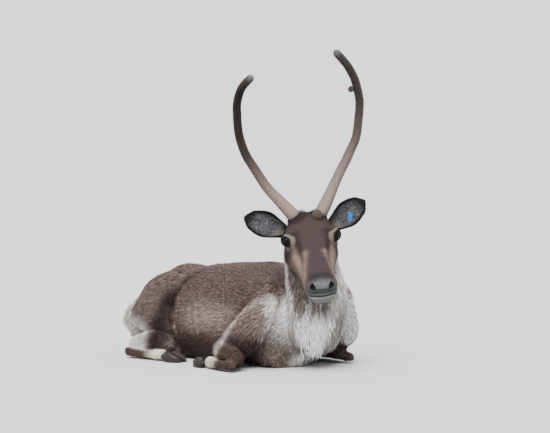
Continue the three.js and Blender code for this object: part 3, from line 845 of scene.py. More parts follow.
# White mane in front, grey-brown throat over it, mottled grey breast and sides, brown nape and low
# breast.
def neckColour(points, t, angle):
    turn = angle % (2 * math.pi)
    fromWhite = np.abs(turn - neck["whiteTurn"])
    colour = np.tile(tones["neckSide"], (len(points), 1))
    colour = paint(colour, smoothStep(0.1, 0.75, np.sin(angle)), "nape")
    colour = paint(colour, 0.85 * smoothStep(5.5, 5.8, turn) * smoothStep(0.3, 0.1, t), "chest")
    farSide = smoothStep(4.55, 4.25, turn) * smoothStep(3.3, 3.8, turn) * smoothStep(0.55, 0.4, t)
    colour = paint(colour, farSide * np.clip(0.7 + 0.4 * mottle(points, 12), 0, 1), "chest")
    wide = np.clip(2.5 * (t - 0.55), 0, 0.4)
    colour = paint(colour, smoothStep(0.46, 0.56, t) * smoothStep(0.95, 0.6, fromWhite - wide), "throat")
    return paint(colour, smoothStep(0.62, 0.42, fromWhite) * smoothStep(0.56, 0.46, t), "mane")


# Lines on both sides of the face: tone, strength, from, to and reach
faceLines = [
    ("tan", 0.75, (34, -78, 34), (46, -116, 22), 11),
    ("tan", 0.7, (46, -116, 22), (50, -158, 12), 12),
    ("tan", 0.6, (66, -66, -4), (58, -112, -12), 10),
    ("browDark", 0.9, (56, -6, 54), (50, -60, 34), 14),
]


# Brown, painted over in turn with crown, cheeks, jaw, bridge, stripes, brows, muzzle, nose and lips, with
# painted shade along the cleft of the mouth, and with a pale ring and dark rim round each eye and painted
# shade inside the nostrils.
def headColour(points):
    head = toHead(points)
    x, y, z = head.T
    m = np.stack([np.abs(x), y, z], -1)
    colour = np.tile(tones["head"], (len(points), 1))
    colour = paint(colour, 0.8 * smoothStep(30, 75, y), "crown")
    colour = paint(colour, 0.85 * smoothStep(26, 56, m[:, 0] - 0.5 * z) * smoothStep(-20, -60, y), "cheek")
    colour = paint(colour, 0.9 * smoothStep(-30, -75, z), "jaw")
    colour = paint(colour, 0.9 * bell(m, (0, -120, 36), (22, 62, 26)), "bridge")
    for tone, strength, a, b, reach in faceLines:
        colour = paint(colour, strength * along(m, a, b, reach), tone)
    colour = paint(colour, 0.95 * bell(m, (16, -176, 34), (30, 13, 22)), "bandDark")
    colour = paint(colour, 0.9 * bell(m, (52, -196, 6), (12, 26, 26)), "wing")
    ragged = 4 * mottle(head, 5)
    muzzle = smoothStep(-184, -200, y + 0.25 * m[:, 0] + ragged) * smoothStep(54, 38, m[:, 0] + ragged)
    colour = paint(colour, muzzle, "muzzle")
    pad = smoothStep(-206, -214, y) * smoothStep(40, 26, m[:, 0]) * smoothStep(13, 6, z)
    noseFur = 0.8 * bell(m, (4, -206, 20), (24, 12, 11)) * (0.7 + 0.5 * mottle(head, 4))
    colour = paint(colour, noseFur, "noseFur")
    colour = paint(colour, 0.9 * pad, "nosePad")
    cleft = z - mouthHeight(head)
    front = smoothStep(-140, -185, y)
    colour = paint(colour, smoothStep(8, 4, np.abs(cleft - 4)) * smoothStep(-180, -200, y), "upperLip")
    colour = paint(colour, smoothStep(4, -1, cleft) * front, "lip")
    colour = paint(colour, smoothStep(-24, -34, cleft) * front, "chin")
    # painted shade along the cleft of the mouth
    colour = paint(colour, np.exp(-((cleft / 2.4) ** 2)) * smoothStep(-150, -180, y), "nostril")
    for side in (1, -1):
        distance, opening = lidOpening(head, side)[:2]
        forward, above = eyeAxes(side)[1:]
        off = unit(head - eyeCentre(side))
        upper = smoothStep(-0.35, 0.25, off @ above)
        inner = smoothStep(0.0, 0.5, off @ forward)
        ring = np.exp(-(((opening - 2.0) / 0.5) ** 2)) * smoothStep(42, 30, distance)
        ring = ring * np.maximum(upper, inner)
        colour = paint(colour, 0.95 * ring, "ring")
        colour = paint(colour, 0.9 * bell(head, (side * 77, -36, 0), (10, 12, 12)), "browDark")
        colour = paint(colour, 0.7 * bell(head, (side * 66, -60, 14), (7, 12, 9)), "ring")
        colour = paint(colour, smoothStep(27, 23, distance) * smoothStep(1.6, 1.25, opening), "rim")
        # painted shade inside the nostrils
        colour = paint(colour, smoothStep(0.12, 0.4, nostrilShape(head, side)[0]), "nostril")
    return colour


# Each form's own colouring, weighed by how much the form takes part.
def coatColour(points, found, weights):
    total = np.zeros((len(points), 3))
    for name, weight in weights.items():
        active = weight > 0.004
        if not active.any():
            continue
        at = points[active]
        t, angle = found[name][0][active], found[name][1][active]
        if name == "trunk":
            made = trunkColour(at)
        elif name == "neck":
            made = neckColour(at, t, angle)
        elif name == "head":
            made = headColour(at)
        elif name == "tail":
            made = np.tile(tones["rump"], (len(at), 1))
        elif "thigh" in name:
            made = thighColour(at)
        elif "upper" in name:
            made = armColour(at)
        else:
            made = legColour(name, at, t)
        total[active] += weight[active, None] * made
    return total / np.maximum(sum(weights.values()), 1e-9)[:, None]


# Antlers in velvet: each beam's points, as far to its side, back and up from the crown
antlers = {
    "crown": (0, 60, 20),
    "beam": 16,
    "shape": [1.42, 1.2, 1.04, 1, 0.96, 0.94, 0.92, 0.88, 0.84],
    "left": [
        (36, 0, 26), (68, 14, 84), (130, 58, 196), (172, 78, 270), (190, 82, 350), (182, 64, 425),
        (152, 26, 490), (78, -33, 554),
    ],
    "right": [
        (-36, 0, 20), (-58, 6, 48), (-106, 26, 94), (-154, 56, 168), (-196, 78, 246), (-214, 80, 324),
        (-217, 64, 388), (-208, 32, 436), (-181, -15, 470),
    ],
    "knob": ((154, 50, 441), 11),
    "bud": ((31, 58, 62), (18, 20, 18)),
}


# Turned level by the head's heading and set on the crown.
def fromCrown(points):
    turn = math.radians(pose["headTurn"])
    out, back, up = np.asarray(points, float).T
    x, y = out * math.cos(turn) + back * math.sin(turn), -out * math.sin(turn) + back * math.cos(turn)
    return fromHead(np.array(antlers["crown"], float)) + np.stack([x, y, up], -1)


# Hair of each form: length, width, thickness, lift at the root and at the tip in degrees, and tufts to a
# square centimetre
hair = {
    "trunk": (26, 3.1, 0.9, 32, 5, 7.6),
    "upper": (24, 3.0, 0.9, 32, 5, 8.3),
    "thigh": (24, 3.0, 0.9, 30, 5, 8.3),
    "neck": (36, 3.2, 0.9, 32, 5, 8.8),
    "tail": (40, 3.6, 1.0, 30, 6, 10.0),
    "forearm": (17, 2.6, 0.8, 28, 6, 10.2),
    "shank": (19, 2.8, 0.8, 28, 6, 9.3),
    "cannon": (11, 2.2, 0.7, 26, 6, 16.5),
    "head": (9, 1.5, 0.5, 20, 5, 40.0),
}


# The hair's key for a form: its own name, or a limb's middle word.
def kindOf(name):
    return name if name in hair else name.split("_")[1]


# Turns directions from a form's own space to the part's.
def turnToRow(form, local, directions):
    warp = form.get("warp", "spine")
    if warp == "head":
        return directions @ headFrame
    if warp == "none":
        return directions
    turn = local[:, 1] / bendRadius
    cos, sin = np.cos(turn), np.sin(turn)
    x, y, z = directions.T
    return np.stack([cos * x - sin * y, sin * x + cos * y, z], -1)


# The way the coat lies on a form, before it is laid on the skin.
def lieOf(name, points, t, angle):
    form = forms[name]
    local = toForm(form, points)
    count = len(points)
    ahead = formFrame(form, t)[1]
    if name == "trunk":
        side = np.abs(np.cos(angle))
        front = smoothStep(0.22, 0.04, t)
        lie = np.stack([0.9 * front * np.sign(local[:, 0]), np.ones(count), -0.62 * side - 0.5 * front], -1)
    elif name == "head":
        down = -0.35 * smoothStep(20, -40, local[:, 2])
        lie = np.stack([0.25 * np.sign(local[:, 0]), np.ones(count), down], -1)
    elif name == "neck":
        front = smoothStep(0.2, -0.6, np.sin(angle))[:, None]
        down, back = np.array([0, 0, -1.0]), np.array([0, 0.5, 0])
        lie = -ahead * (1 - 0.6 * front) + down * (0.35 + 0.9 * front) + back * (1 - front)
    elif "thigh" in name or "upper" in name:
        top = smoothStep(0.42, 0.12, t) if "upper" in name else np.zeros(count)
        outward = (0.5 + 0.45 * top) * (1 if name.endswith("left") else -1)
        lie = np.stack([outward, 0.62 - 0.2 * top, -0.62 + 0.3 * top], -1)
    else:
        lie = ahead + np.array([0, 0, -0.7])
    return unit(turnToRow(form, local, lie))


# At each skin point the lie of the coat, laid on the skin and evened out, and the hair's sizes.
def layCoat(points, normals, edges, found, weights):
    lie = sum(weights[name][:, None] * lieOf(name, points, found[name][0], found[name][1]) for name in forms)
    for _ in range(3):
        lie = spread(laidOn(lie, normals), edges, 0.6, 8)
    lie = laidOn(lie, normals)
    sizes = sum(weights[name][:, None] * np.array(hair[kindOf(name)]) for name in forms)
    head = toHead(points)
    inFront = smoothStep(-120, -200, head[:, 1]) * weights["head"]
    sizes[:, 0] *= 1 - 0.66 * inFront
    sizes[:, 1] *= 1 - 0.45 * inFront
    jaw = weights["head"] * smoothStep(-14, -50, head[:, 2]) * smoothStep(-190, -130, head[:, 1])
    sizes[:, 0] *= 1 + 1.2 * jaw
    bare = (normals[:, 2] < -0.55) & (points[:, 2] < 16)
    cleft = head[:, 2] - mouthHeight(head)
    bare |= (np.abs(cleft) < 2.5) & (head[:, 1] < -165) & (weights["head"] > 0.5)
    for side in (1, -1):
        burr = fromCrown([antlers[sideNames[side]][0]])[0]
        collar = np.exp(-(((np.linalg.norm(points - burr, axis=1) - 20) / 14) ** 2))
        sizes[:, 0] *= 1 + 1.1 * collar
        sizes[:, 3:5] += 26 * collar[:, None]
        distance, opening = lidOpening(head, side)[:2]
        bare |= (distance < 22) & (opening < 1.16)
        sizes[:, 0] *= 1 - 0.6 * smoothStep(34, 22, distance)
        bare |= nostrilShape(head, side)[0] > 0.05
    sizes[bare, 5] = 0
    return lie, sizes


# Roots spread evenly over the mesh: even steps through the running sum of each triangle's area x density.
def scatter(mesh, density, rng):
    mesh.calc_loop_triangles()
    corners = readRows(mesh.loop_triangles, "vertices", 3, np.int32)
    p = readPoints(mesh)[corners]
    area = np.linalg.norm(np.cross(p[:, 1] - p[:, 0], p[:, 2] - p[:, 0]), axis=1) / 200
    running = np.cumsum(area * density[corners].mean(1))
    count = int(running[-1])
    picked = np.searchsorted(running, (np.arange(count) + rng.random(count)) * running[-1] / count)
    a, b = np.sqrt(rng.random(count)), rng.random(count)
    share = np.stack([1 - a, a * (1 - b), a * b], -1)
    return corners[np.minimum(picked, len(corners) - 1)], share


# Values at the vertices taken to the roots, by each root's shares of its triangle's corners.
def atRoots(values, corners, share):
    return (values[corners] * share.reshape(share.shape + (1,) * (values.ndim - 1))).sum(1)


# What every tuft shares
tuft = {
    "sink": 1.5,  # the root's depth under the skin
    "profile": ([0, 0.35, 0.75, 1], [0.75, 1, 0.72, 0]),  # width along it
    "sway": 0.16,
    "drift": 0.22,  # turning of the lie over patches
    "patch": 16,
    "bakePatch": 0.0015,
}


# Points with none lower than the lowest height over the floor.
def overFloor(points):
    points[..., 2] = np.maximum(points[..., 2], lowest)
    return points


# Tufts as closed three-sided blades: each ring steps on by length / rings along a way that turns from
# start to end, and its three corners stand beside and over that line, narrowing to one point at the tip.
def hairMesh(
    name, roots, normals, startWay, endWay, length, width, thick, rootTone, tipTone, patches, rings
):
    count = len(roots)
    centre = roots - normals * tuft["sink"]
    perTuft = 3 * rings + 1
    points = np.empty((count, perTuft, 3))
    shade = np.ones(perTuft)
    profile = np.interp(np.linspace(0, 1, rings + 1), *tuft["profile"])
    for k in range(rings):
        turn = (k + 0.5) / rings
        way = unit(startWay * (1 - turn) + endWay * turn)
        side = unit(np.cross(way, normals))
        out = np.cross(side, way)
        wide = (width * profile[k] / 2)[:, None]
        points[:, 3 * k] = centre + out * (thick * profile[k])[:, None]
        points[:, 3 * k + 1] = centre - side * wide
        points[:, 3 * k + 2] = centre + side * wide
        shade[3 * k : 3 * k + 3] = k / rings
        centre = centre + way * (length / rings)[:, None]
    points[:, -1] = centre
    points = overFloor(points)
    first = np.arange(count)[:, None, None] * perTuft
    pairs = ((0, 1), (1, 2), (2, 0))
    sides = [[3 * k + a, 3 * k + 3 + a, 3 * k + 3 + b, 3 * k + b] for k in range(rings - 1) for a, b in pairs]
    ends = [[0, 1, 2]] + [[3 * rings - 3 + a, 3 * rings, 3 * rings - 3 + b] for a, b in pairs]
    faces = [(first + np.array(group)).reshape(-1, len(group[0])) for group in (sides, ends) if group]
    mesh = meshFrom(name, points.reshape(-1, 3), *faces)
    mix = shade[None, :, None]
    colour = rootTone[:, None] * (1 - mix) + tipTone[:, None] * mix
    setColours(mesh, colour.reshape(-1, 3))
    corner = readRows(mesh.loops, "vertex_index", 1, np.int32)[:, 0]
    spreadOut = np.stack([np.arange(perTuft) % 3 - 1, 2 * shade - 1], -1) * tuft["bakePatch"]
    uv = (patches[:, None] + spreadOut[None]).reshape(-1, 2)[corner]
    layer = mesh.uv_layers.new(name="OFBake")
    layer.data.foreach_set("uv", np.clip(uv, 0, 1).astype(np.float32).ravel())
    return mesh


# Keeps a colour at each vertex, for the materials to read.
def setColours(mesh, colours):
    layer = mesh.color_attributes.new(name="coatColour", type="FLOAT_COLOR", domain="POINT")
    full = np.concatenate([np.clip(colours, 0, 1), np.ones((len(colours), 1))], 1)
    layer.data.foreach_set("color", full.astype(np.float32).ravel())


# Turns each way a little to one side, by a normal draw of amount.
def sway(rng, ways, normals, amount):
    return ways + np.cross(ways, normals) * (amount * rng.standard_normal(len(ways)))[:, None]


# Ears: a leaf rolled into a cup, with dense fur outside and long silvery hair inside
ear = {
    "length": 142, "half": 42, "thick": 5, "root": (72, 62, 0),
    "width": ([0, 0.15, 0.5, 0.8, 1], [0.42, 0.62, 1, 0.76, 0.08]),
    "roll": ([0, 0.3, 0.7, 1], [2.6, 1.7, 1.05, 0.9]),
    "front": (-0.1, -0.74, 0.67),
    "hollow": 18,
    "density": 30.0,
    "hair": (5.5, 1.5, 0.5, 11, 2, 0),
    "longer": 12,
    "away": {1: (0.93, 0.36, 0.39), -1: (-0.86, 0.4, 0.24)},
}


# Root + away x t x length, bent round an arc of the ear's half width: v is the share of the arc, skin the
# height off it.
def earPoint(side, t, v, skin, shut=1.0):
    away = unit(np.array(ear["away"][side]))
    front = np.array(ear["front"]) * (side, 1, 1)
    front = unit(front - away * (front @ away))
    across = np.cross(away, front)
    roll = smoothTrack(*map(np.array, ear["roll"]), t)
    half = ear["half"] * smoothTrack(*map(np.array, ear["width"]), t)
    radius = half * shut / np.sin(np.minimum(roll, math.pi / 2))
    bent = v * roll
    ahead = radius * (1 - np.cos(bent)) + skin * np.cos(bent) - ear["hollow"] * np.sin(t * math.pi / 2)
    local = np.array(ear["root"]) * (side, 1, 1) + (t * ear["length"])[..., None] * away
    return fromHead(local + ahead[..., None] * front + ((radius - skin) * np.sin(bent))[..., None] * across)


# The ear's closed shell, and for each of its vertices t, v and whether it lies inside the cup.
def makeEar(side):

    def place(t, angle):
        shut = np.sqrt(np.minimum(1, np.minimum(t, 1 - t) / 0.03))
        thick = (ear["thick"] / 2 - 0.8) * (1 - 0.5 * np.cos(angle) ** 8)
        return earPoint(side, t, np.cos(angle) * 0.97, np.sin(angle) * thick * shut, shut)

    rows, columns = 48, 56
    points, four, three = tube(place, rows, columns)
    mesh = meshFrom(f"ear{side}", points, four, three)
    t, angle = tubeSteps(rows, columns)
    t, angle = np.append(np.repeat(t, columns), [0, 1]), np.append(np.tile(angle, rows), [0, 0])
    return mesh, t, np.cos(angle), smoothStep(-0.1, 0.1, np.sin(angle))


# Dark rim, brown back, silvery grey cup that is pale at its root.
def earColour(t, v, inside):
    colour = np.tile(tones["earBack"], (len(t), 1))
    colour = paint(colour, inside, "earInside")
    colour = paint(colour, inside * smoothStep(0.3, 0.12, t) * smoothStep(0.9, 0.4, np.abs(v)), "earRoot")
    colour = paint(colour, 0.8 * smoothStep(0.2, 0.05, t) * (1 - inside), "earRoot")
    return paint(colour, 0.95 * smoothStep(0.64, 0.86, np.maximum(np.abs(v), t * 1.02)), "earRim")


coatPieces = []


# Lays tufts from the roots: lifted off the skin by the first angle and coming down to the second at the
# tip, swayed a little, each a little lighter or darker, pale towards the tip.
def growCoat(
    name, roots, normals, lie, sizes, colour, patches, rings, rng,
    fall=0.0, contrast=0.12, rootShade=0.72, tipShade=1.16,
):
    count = len(roots)
    high = np.radians(sizes[:, 3:4] * (0.75 + 0.5 * rng.random((count, 1))))
    low = np.radians(sizes[:, 4:5])
    uneven = mottle(roots, tuft["patch"])
    drift = np.cross(lie, normals) * (tuft["drift"] * uneven)[:, None]
    ways = unit(sway(rng, lie, normals, tuft["sway"]) + drift)
    start = ways * np.cos(high) + normals * np.sin(high)
    end = unit(ways * np.cos(low) + normals * np.sin(low) + np.array([0, 0, -fall]))
    length = sizes[:, 0] * (0.75 + 0.5 * rng.random(count)) * (1 + 0.18 * uneven)
    width = sizes[:, 1] * (0.8 + 0.4 * rng.random(count))
    tint = np.exp(contrast * rng.standard_normal((count, 1)) + 0.05 * uneven[:, None])
    rootTone, tipTone = colour * tint * rootShade, colour * tint * tipShade
    mesh = hairMesh(
        name, roots, normals, start, end, length, width, sizes[:, 2], rootTone, tipTone, patches, rings
    )
    piece = addObject(mesh, coatMaterial)
    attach(piece, "root")
    coatPieces.append(piece)
    return piece


# A material of one Principled shader with constant settings; bump is the size, strength and height of a
# noise.
def principled(name, settings, colour=None, bump=None, attribute=False):
    made = bpy.data.materials.new(name)
    made.use_nodes = True
    nodes, links = made.node_tree.nodes, made.node_tree.links
    shader = nodes["Principled BSDF"]
    for key, value in settings.items():
        shader.inputs[key].default_value = value
    if colour:
        shader.inputs["Base Color"].default_value = (*colour, 1)
    if attribute:
        read = nodes.new("ShaderNodeAttribute")
        read.attribute_name = "coatColour"
        links.new(read.outputs["Color"], shader.inputs["Base Color"])
    if bump:
        place, noise, raised = (nodes.new(f"ShaderNode{k}") for k in ("TexCoord", "TexNoise", "Bump"))
        noise.inputs["Scale"].default_value = bump[0]
        noise.inputs["Detail"].default_value = 4
        raised.inputs["Strength"].default_value = bump[1]
        raised.inputs["Distance"].default_value = bump[2]
        links.new(place.outputs["Object"], noise.inputs["Vector"])
        links.new(noise.outputs["Fac"], raised.inputs["Height"])
        links.new(raised.outputs["Normal"], shader.inputs["Normal"])
    return made


# The shader's settings for a roughness and a strength of reflection.
def surface(roughness, specular, **more):
    return {"Roughness": roughness, "Specular IOR Level": specular, **more}


skinMaterial = principled("shortCoat", surface(0.85, 0.12), bump=(700, 0.5, 0.001), attribute=True)
coatMaterial = principled("hair", surface(0.75, 0.12), attribute=True)
eyeMaterial = principled("wetEye", surface(0.12, 0.08), attribute=True)
velvetFinish = surface(0.9, 0.1, **{"Sheen Weight": 0.1})
velvetMaterial = principled("velvet", velvetFinish, bump=(420, 0.6, 0.0015), attribute=True)
hornMaterial = principled("horn", surface(0.5, 0.2), (0.016, 0.012, 0.011), bump=(160, 0.35, 0.002))
tagMaterial = principled("tagPlastic", surface(0.6, 0.08), (0.001, 0.075, 0.250), bump=(300, 0.08, 0.0005))


# Index ranges of nearly even size, none over the most.
def splitEvenly(count, most):
    parts = max(1, math.ceil(count / most))
    return [np.arange(count)[k * count // parts : (k + 1) * count // parts] for k in range(parts)]


# The body: the skin with its colours, and the coat in pieces by region
regions = {name: [name] for name in ("trunk", "neck", "head", "tail")}
for limb, bones in (("foreleg", ("upper", "forearm", "cannon")), ("hindleg", ("thigh", "shank", "cannon"))):
    for sideName in sideNames.values():
        regions[f"{limb}_{sideName}"] = [f"{limb}_{bone}_{sideName}" for bone in bones]
# Rings to a tuft, shades of its root and tip, and the most tufts in a piece
coatLook = {"head": (1, (1.02, 1.2), 46000), "body": (2, (0.72, 1.16), 18500)}
contrasts = {"neck": 0.32, "foreleg_left": 0.32, "foreleg_right": 0.32, "other": 0.15}


# Colours the skin and grows the coat of each region from roots spread over it. A root's patch for baking is
# its form's turn and t.
def coverBody(mesh):
    points, normals, edges = readPoints(mesh), readNormals(mesh), readEdges(mesh)
    found, weights = mixAll(points)
    lie, sizes = layCoat(points, normals, edges, found, weights)
    setColours(mesh, coatColour(points, found, weights) * (0.75 + 0.2 * weights["head"])[:, None])
    stage("coat laid")
    rng = np.random.default_rng(11)
    seeded = scatter(mesh, sizes[:, 5], rng)
    roots, normal = atRoots(points, *seeded), unit(atRoots(normals, *seeded))
    way, size = unit(atRoots(lie, *seeded)), atRoots(sizes, *seeded)
    found, weights = mixAll(roots)
    colour = coatColour(roots, found, weights)
    names = list(forms)
    owner = np.argmax(np.stack([weights[name] for name in names]), axis=0)
    stage(f"{len(roots)} roots")
    for region, members in regions.items():
        inRegion = np.flatnonzero(np.isin(owner, [names.index(m) for m in members]))
        patches = np.zeros((len(inRegion), 2))
        for slotIndex, member in enumerate(members):
            mine = owner[inRegion] == names.index(member)
            at = inRegion[mine]
            turn = (found[member][1][at] / (2 * math.pi)) % 1
            column = (slotIndex + 0.01 + 0.98 * turn) / len(members)
            patches[mine] = np.stack([column, found[member][0][at]], -1)
        contrast = contrasts.get(region, contrasts["other"])
        order = np.argsort(patches[:, 1], kind="stable")
        rings, shades, most = coatLook.get(region, coatLook["body"])
        for k, part in enumerate(splitEvenly(len(inRegion), most)):
            rows = inRegion[order[part]]
            label = f"coat_{region}_{k + 1}"
            laid = [values[rows] for values in (roots, normal, way, size, colour)]
            growCoat(label, *laid, patches[order[part]], rings, rng, 0.12, contrast, *shades)
        stage(f"coat of {region}, {len(inRegion)} tufts")


maneLook = {"hair": (62.0, 3.4, 1.0, 13, 1, 0), "density": 6.5, "rings": 5}


# Long locks hanging from the front of the neck and breast, white, over each other, lying out on the
# floor.
def mane(mesh):
    points, normals = readPoints(mesh), readNormals(mesh)
    found, weights = mixAll(points)
    t, angle = found["neck"][:2]
    front = np.abs((angle % (2 * math.pi)) - neck["maneTurn"])
    density = weights["neck"] * smoothStep(0.8, 0.55, front) * smoothStep(0.66, 0.5, t)
    density = density * smoothStep(0.0, 0.05, t) * maneLook["density"]
    rng = np.random.default_rng(12)
    seeded = scatter(mesh, density, rng)
    roots, normal = atRoots(points, *seeded), unit(atRoots(normals, *seeded))
    found = near(forms["neck"], roots)
    count = len(roots)
    down = np.array([0, 0, -1.0])
    way = unit(down - normal * (normal @ down)[:, None])
    sizes = np.tile(maneLook["hair"], (count, 1))
    sizes[:, 0] *= 1 + 0.3 * smoothStep(0.2, 0.5, found[0]) - 0.35 * smoothStep(0.6, 0.66, found[0])
    colour = neckColour(roots, *found[:2])
    patches = np.stack([0.01 + 0.98 * ((found[1] / (2 * math.pi)) % 1), found[0]], -1)
    rings = maneLook["rings"]
    growCoat("coat_mane_1", roots, normal, way, sizes, colour, patches, rings, rng, 0.12, 0.06, 0.9)
    stage(f"mane, {count} locks")


skinMesh = makeSkin()
coverBody(skinMesh)
mane(skinMesh)
ears = {side: makeEar(side) for side in sideNames}


# Short dark hair on the ear's back and edges, longer silvery hair inside it, both lying towards the tip.
def coverEar(side):
    mesh, t, v, inside = ears[side]
    points, normals = readPoints(mesh), readNormals(mesh)
    setColours(mesh, earColour(t, v, inside) * 0.8)
    tipward = np.gradient(earPoint(side, np.linspace(0, 1, 50), np.zeros(50), np.zeros(50)), axis=0)
    lie = np.stack([np.interp(t, np.linspace(0, 1, 50), tipward[:, k]) for k in range(3)], -1)
    level, inner = np.zeros(len(t)), np.clip(t, 0.02, 0.98)
    outward = earPoint(side, inner, v, level) - earPoint(side, inner, v * 0.9, level)
    lie = unit(lie) + 0.25 * unit(outward) * (np.abs(v) * inside)[:, None]
    lie = laidOn(lie, normals)
    rng = np.random.default_rng(20 + side)
    seeded = scatter(mesh, np.full(len(t), ear["density"]), rng)
    rootT, rootV, rootInside = (atRoots(values, *seeded) for values in (t, v, inside))
    colour = earColour(rootT, rootV, rootInside)
    hairy = rootInside * smoothStep(0.06, 0.2, rootT) * (rng.random(len(rootT)) < 0.55)
    silver = hairy * 0.8 * smoothStep(0.86, 0.5, np.abs(rootV)) * smoothStep(0.92, 0.7, rootT)
    colour = paint(colour, silver, "earHair")
    sizes = np.tile(ear["hair"], (len(rootT), 1))
    sizes[:, 0] += ear["longer"] * hairy * smoothStep(0.92, 0.6, np.abs(rootV)) * smoothStep(0.95, 0.7, rootT)
    sizes[:, 3] += 12 * hairy
    patches = np.stack([0.01 + 0.49 * (rootV + 1) / 2 + 0.5 * (rootInside > 0.5), rootT], -1)
    patches[:, 0] = np.clip(patches[:, 0], 0.003, 0.997)
    roots, normal, way = (atRoots(values, *seeded) for values in (points, normals, lie))
    label = f"coat_ear_{sideNames[side]}"
    growCoat(label, roots, unit(normal), unit(way), sizes, colour, patches, 2, rng, 0, 0.2)


for side in sideNames:
    coverEar(side)
stage("ears covered")


# One mesh of several, with their colours.
def joinMeshes(name, parts):
    work = bmesh.new()
    for part in parts:
        work.from_mesh(part)
    made = bpy.data.meshes.new(name)
    work.to_mesh(made)
    work.free()
    made.polygons.foreach_set("use_smooth", np.ones(len(made.polygons), bool))
    return made


# Thins the skin's faces under the coat, but not the head's: edges collapse where that bends it least.
def thinUnderCoat(mesh):
    head = toHead(readPoints(mesh))
    covered = (head[:, 1] > 92) | (head[:, 1] < -260) | (np.abs(head[:, 0]) > 110) | (head[:, 2] < -112)
    source = addObject(mesh)
    group = source.vertex_groups.new(name="covered")
    group.add(np.flatnonzero(covered).tolist(), 1.0, "REPLACE")
    thin = source.modifiers.new("thin", "DECIMATE")
    thin.ratio = skinLook["kept"]
    thin.vertex_group = "covered"
    thinned = applied(source)
    stage(f"skin thinned to {len(thinned.polygons)} triangles")
    return thinned


skinMesh = thinUnderCoat(skinMesh)
skin = addObject(joinMeshes("skin", [skinMesh, ears[1][0], ears[-1][0]]), skinMaterial)
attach(skin, "root")
fleshNodes = [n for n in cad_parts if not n.startswith(("antler", "eye", "ear_tag")) and "claw" not in n]
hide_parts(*fleshNodes)


# A piece that stands for CAD nodes.
def finished(name, mesh, material, slotName, *nodes):
    piece = addObject(mesh, material)
    piece.name = name
    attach(piece, "root")
    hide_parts(*nodes)


# A ball with a low cornea in front: a wide dark pupil in a brown iris, dark at its edge.
def makeEye(side):
    centre = eyeCentre(side)
    gaze, forward, above = eyeAxes(side)

    def place(t, angle):
        polar = np.pi * t
        ring = np.cos(angle)[..., None] * forward + np.sin(angle)[..., None] * above * side
        out = np.cos(polar)[..., None] * gaze + np.sin(polar)[..., None] * ring
        bulge = eye["cornea"] * np.exp(-((polar / 0.55) ** 2))
        return fromHead(centre + out * (eye["radius"] - 0.3 + bulge)[..., None])

    points, four, three = tube(place, 48, 48)
    off = unit(toHead(points) - centre)
    a, b = (np.degrees(np.arcsin(np.clip(off @ way, -1, 1))) for way in (forward, above))
    colour = np.tile(tones["iris"], (len(points), 1))
    colour = paint(colour, smoothStep(1.2, 0.8, np.hypot(a / eye["pupil"][0], b / eye["pupil"][1])), "pupil")
    colour = paint(colour, smoothStep(34, 42, np.hypot(a, b)), "eyeEdge")
    name = sideNames[side]
    mesh = meshFrom(f"eye_{name}", points, four, three)
    setColours(mesh, colour)
    finished(f"eyeball_{name}", mesh, eyeMaterial, "eye", f"eye_{name}")


for side in sideNames:
    makeEye(side)


# Points at even distances on a cubic curve through the knots, its slopes weighed by the square roots of
# the gaps beside each.
def curveAlong(knots, count):
    knots = np.concatenate([[2 * knots[0] - knots[1]], knots, [2 * knots[-1] - knots[-2]]])
    gaps = np.linalg.norm(np.diff(knots, axis=0), axis=1) ** 0.5
    dense = []
    for i in range(1, len(knots) - 2):
        a, b, c, d = knots[i - 1 : i + 3]
        before, here, after = gaps[i - 1 : i + 2]
        first = ((b - a) / before - (c - a) / (before + here) + (c - b) / here) * here
        second = ((c - b) / here - (d - b) / (here + after) + (d - c) / after) * here
        s = np.linspace(0, 1, 60, endpoint=i == len(knots) - 3)[:, None]
        square, cube = 3 * (c - b) - 2 * first - second, 2 * (b - c) + first + second
        dense.append(b + first * s + square * s**2 + cube * s**3)
    dense = np.concatenate(dense)
    run = np.concatenate([[0], np.cumsum(np.linalg.norm(np.diff(dense, axis=0), axis=1))])
    even = np.linspace(0, run[-1], count)
    return np.stack([np.interp(even, run, dense[:, k]) for k in range(3)], -1)


velvetTones = {
    "steps": [0, 0.14, 0.3, 0.46, 0.6, 0.88, 0.96, 1],
    "right": [
        (0.190, 0.150, 0.130), (0.165, 0.130, 0.112), (0.085, 0.063, 0.053), (0.022, 0.016, 0.013),
        (0.012, 0.008, 0.006), (0.010, 0.007, 0.006), (0.030, 0.026, 0.025), (0.11, 0.10, 0.097),
    ],
    "left": [
        (0.180, 0.146, 0.128), (0.160, 0.128, 0.110), (0.115, 0.090, 0.078), (0.060, 0.046, 0.040),
        (0.036, 0.026, 0.022), (0.030, 0.023, 0.020), (0.036, 0.031, 0.030), (0.10, 0.09, 0.087),
    ],
    "fuzz": (0.19, 0.165, 0.145),
    "hair": (4.2, 0.8, 0.4, 58, 36, 0),
    "density": 26.0,
}


# Pale brown at the base, nearly black above, paler at the tip; height from 0 to 1.
def velvetColour(height, side):
    columns = np.array(velvetTones[side]).T
    return np.stack([np.interp(height, velvetTones["steps"], column) for column in columns], -1)


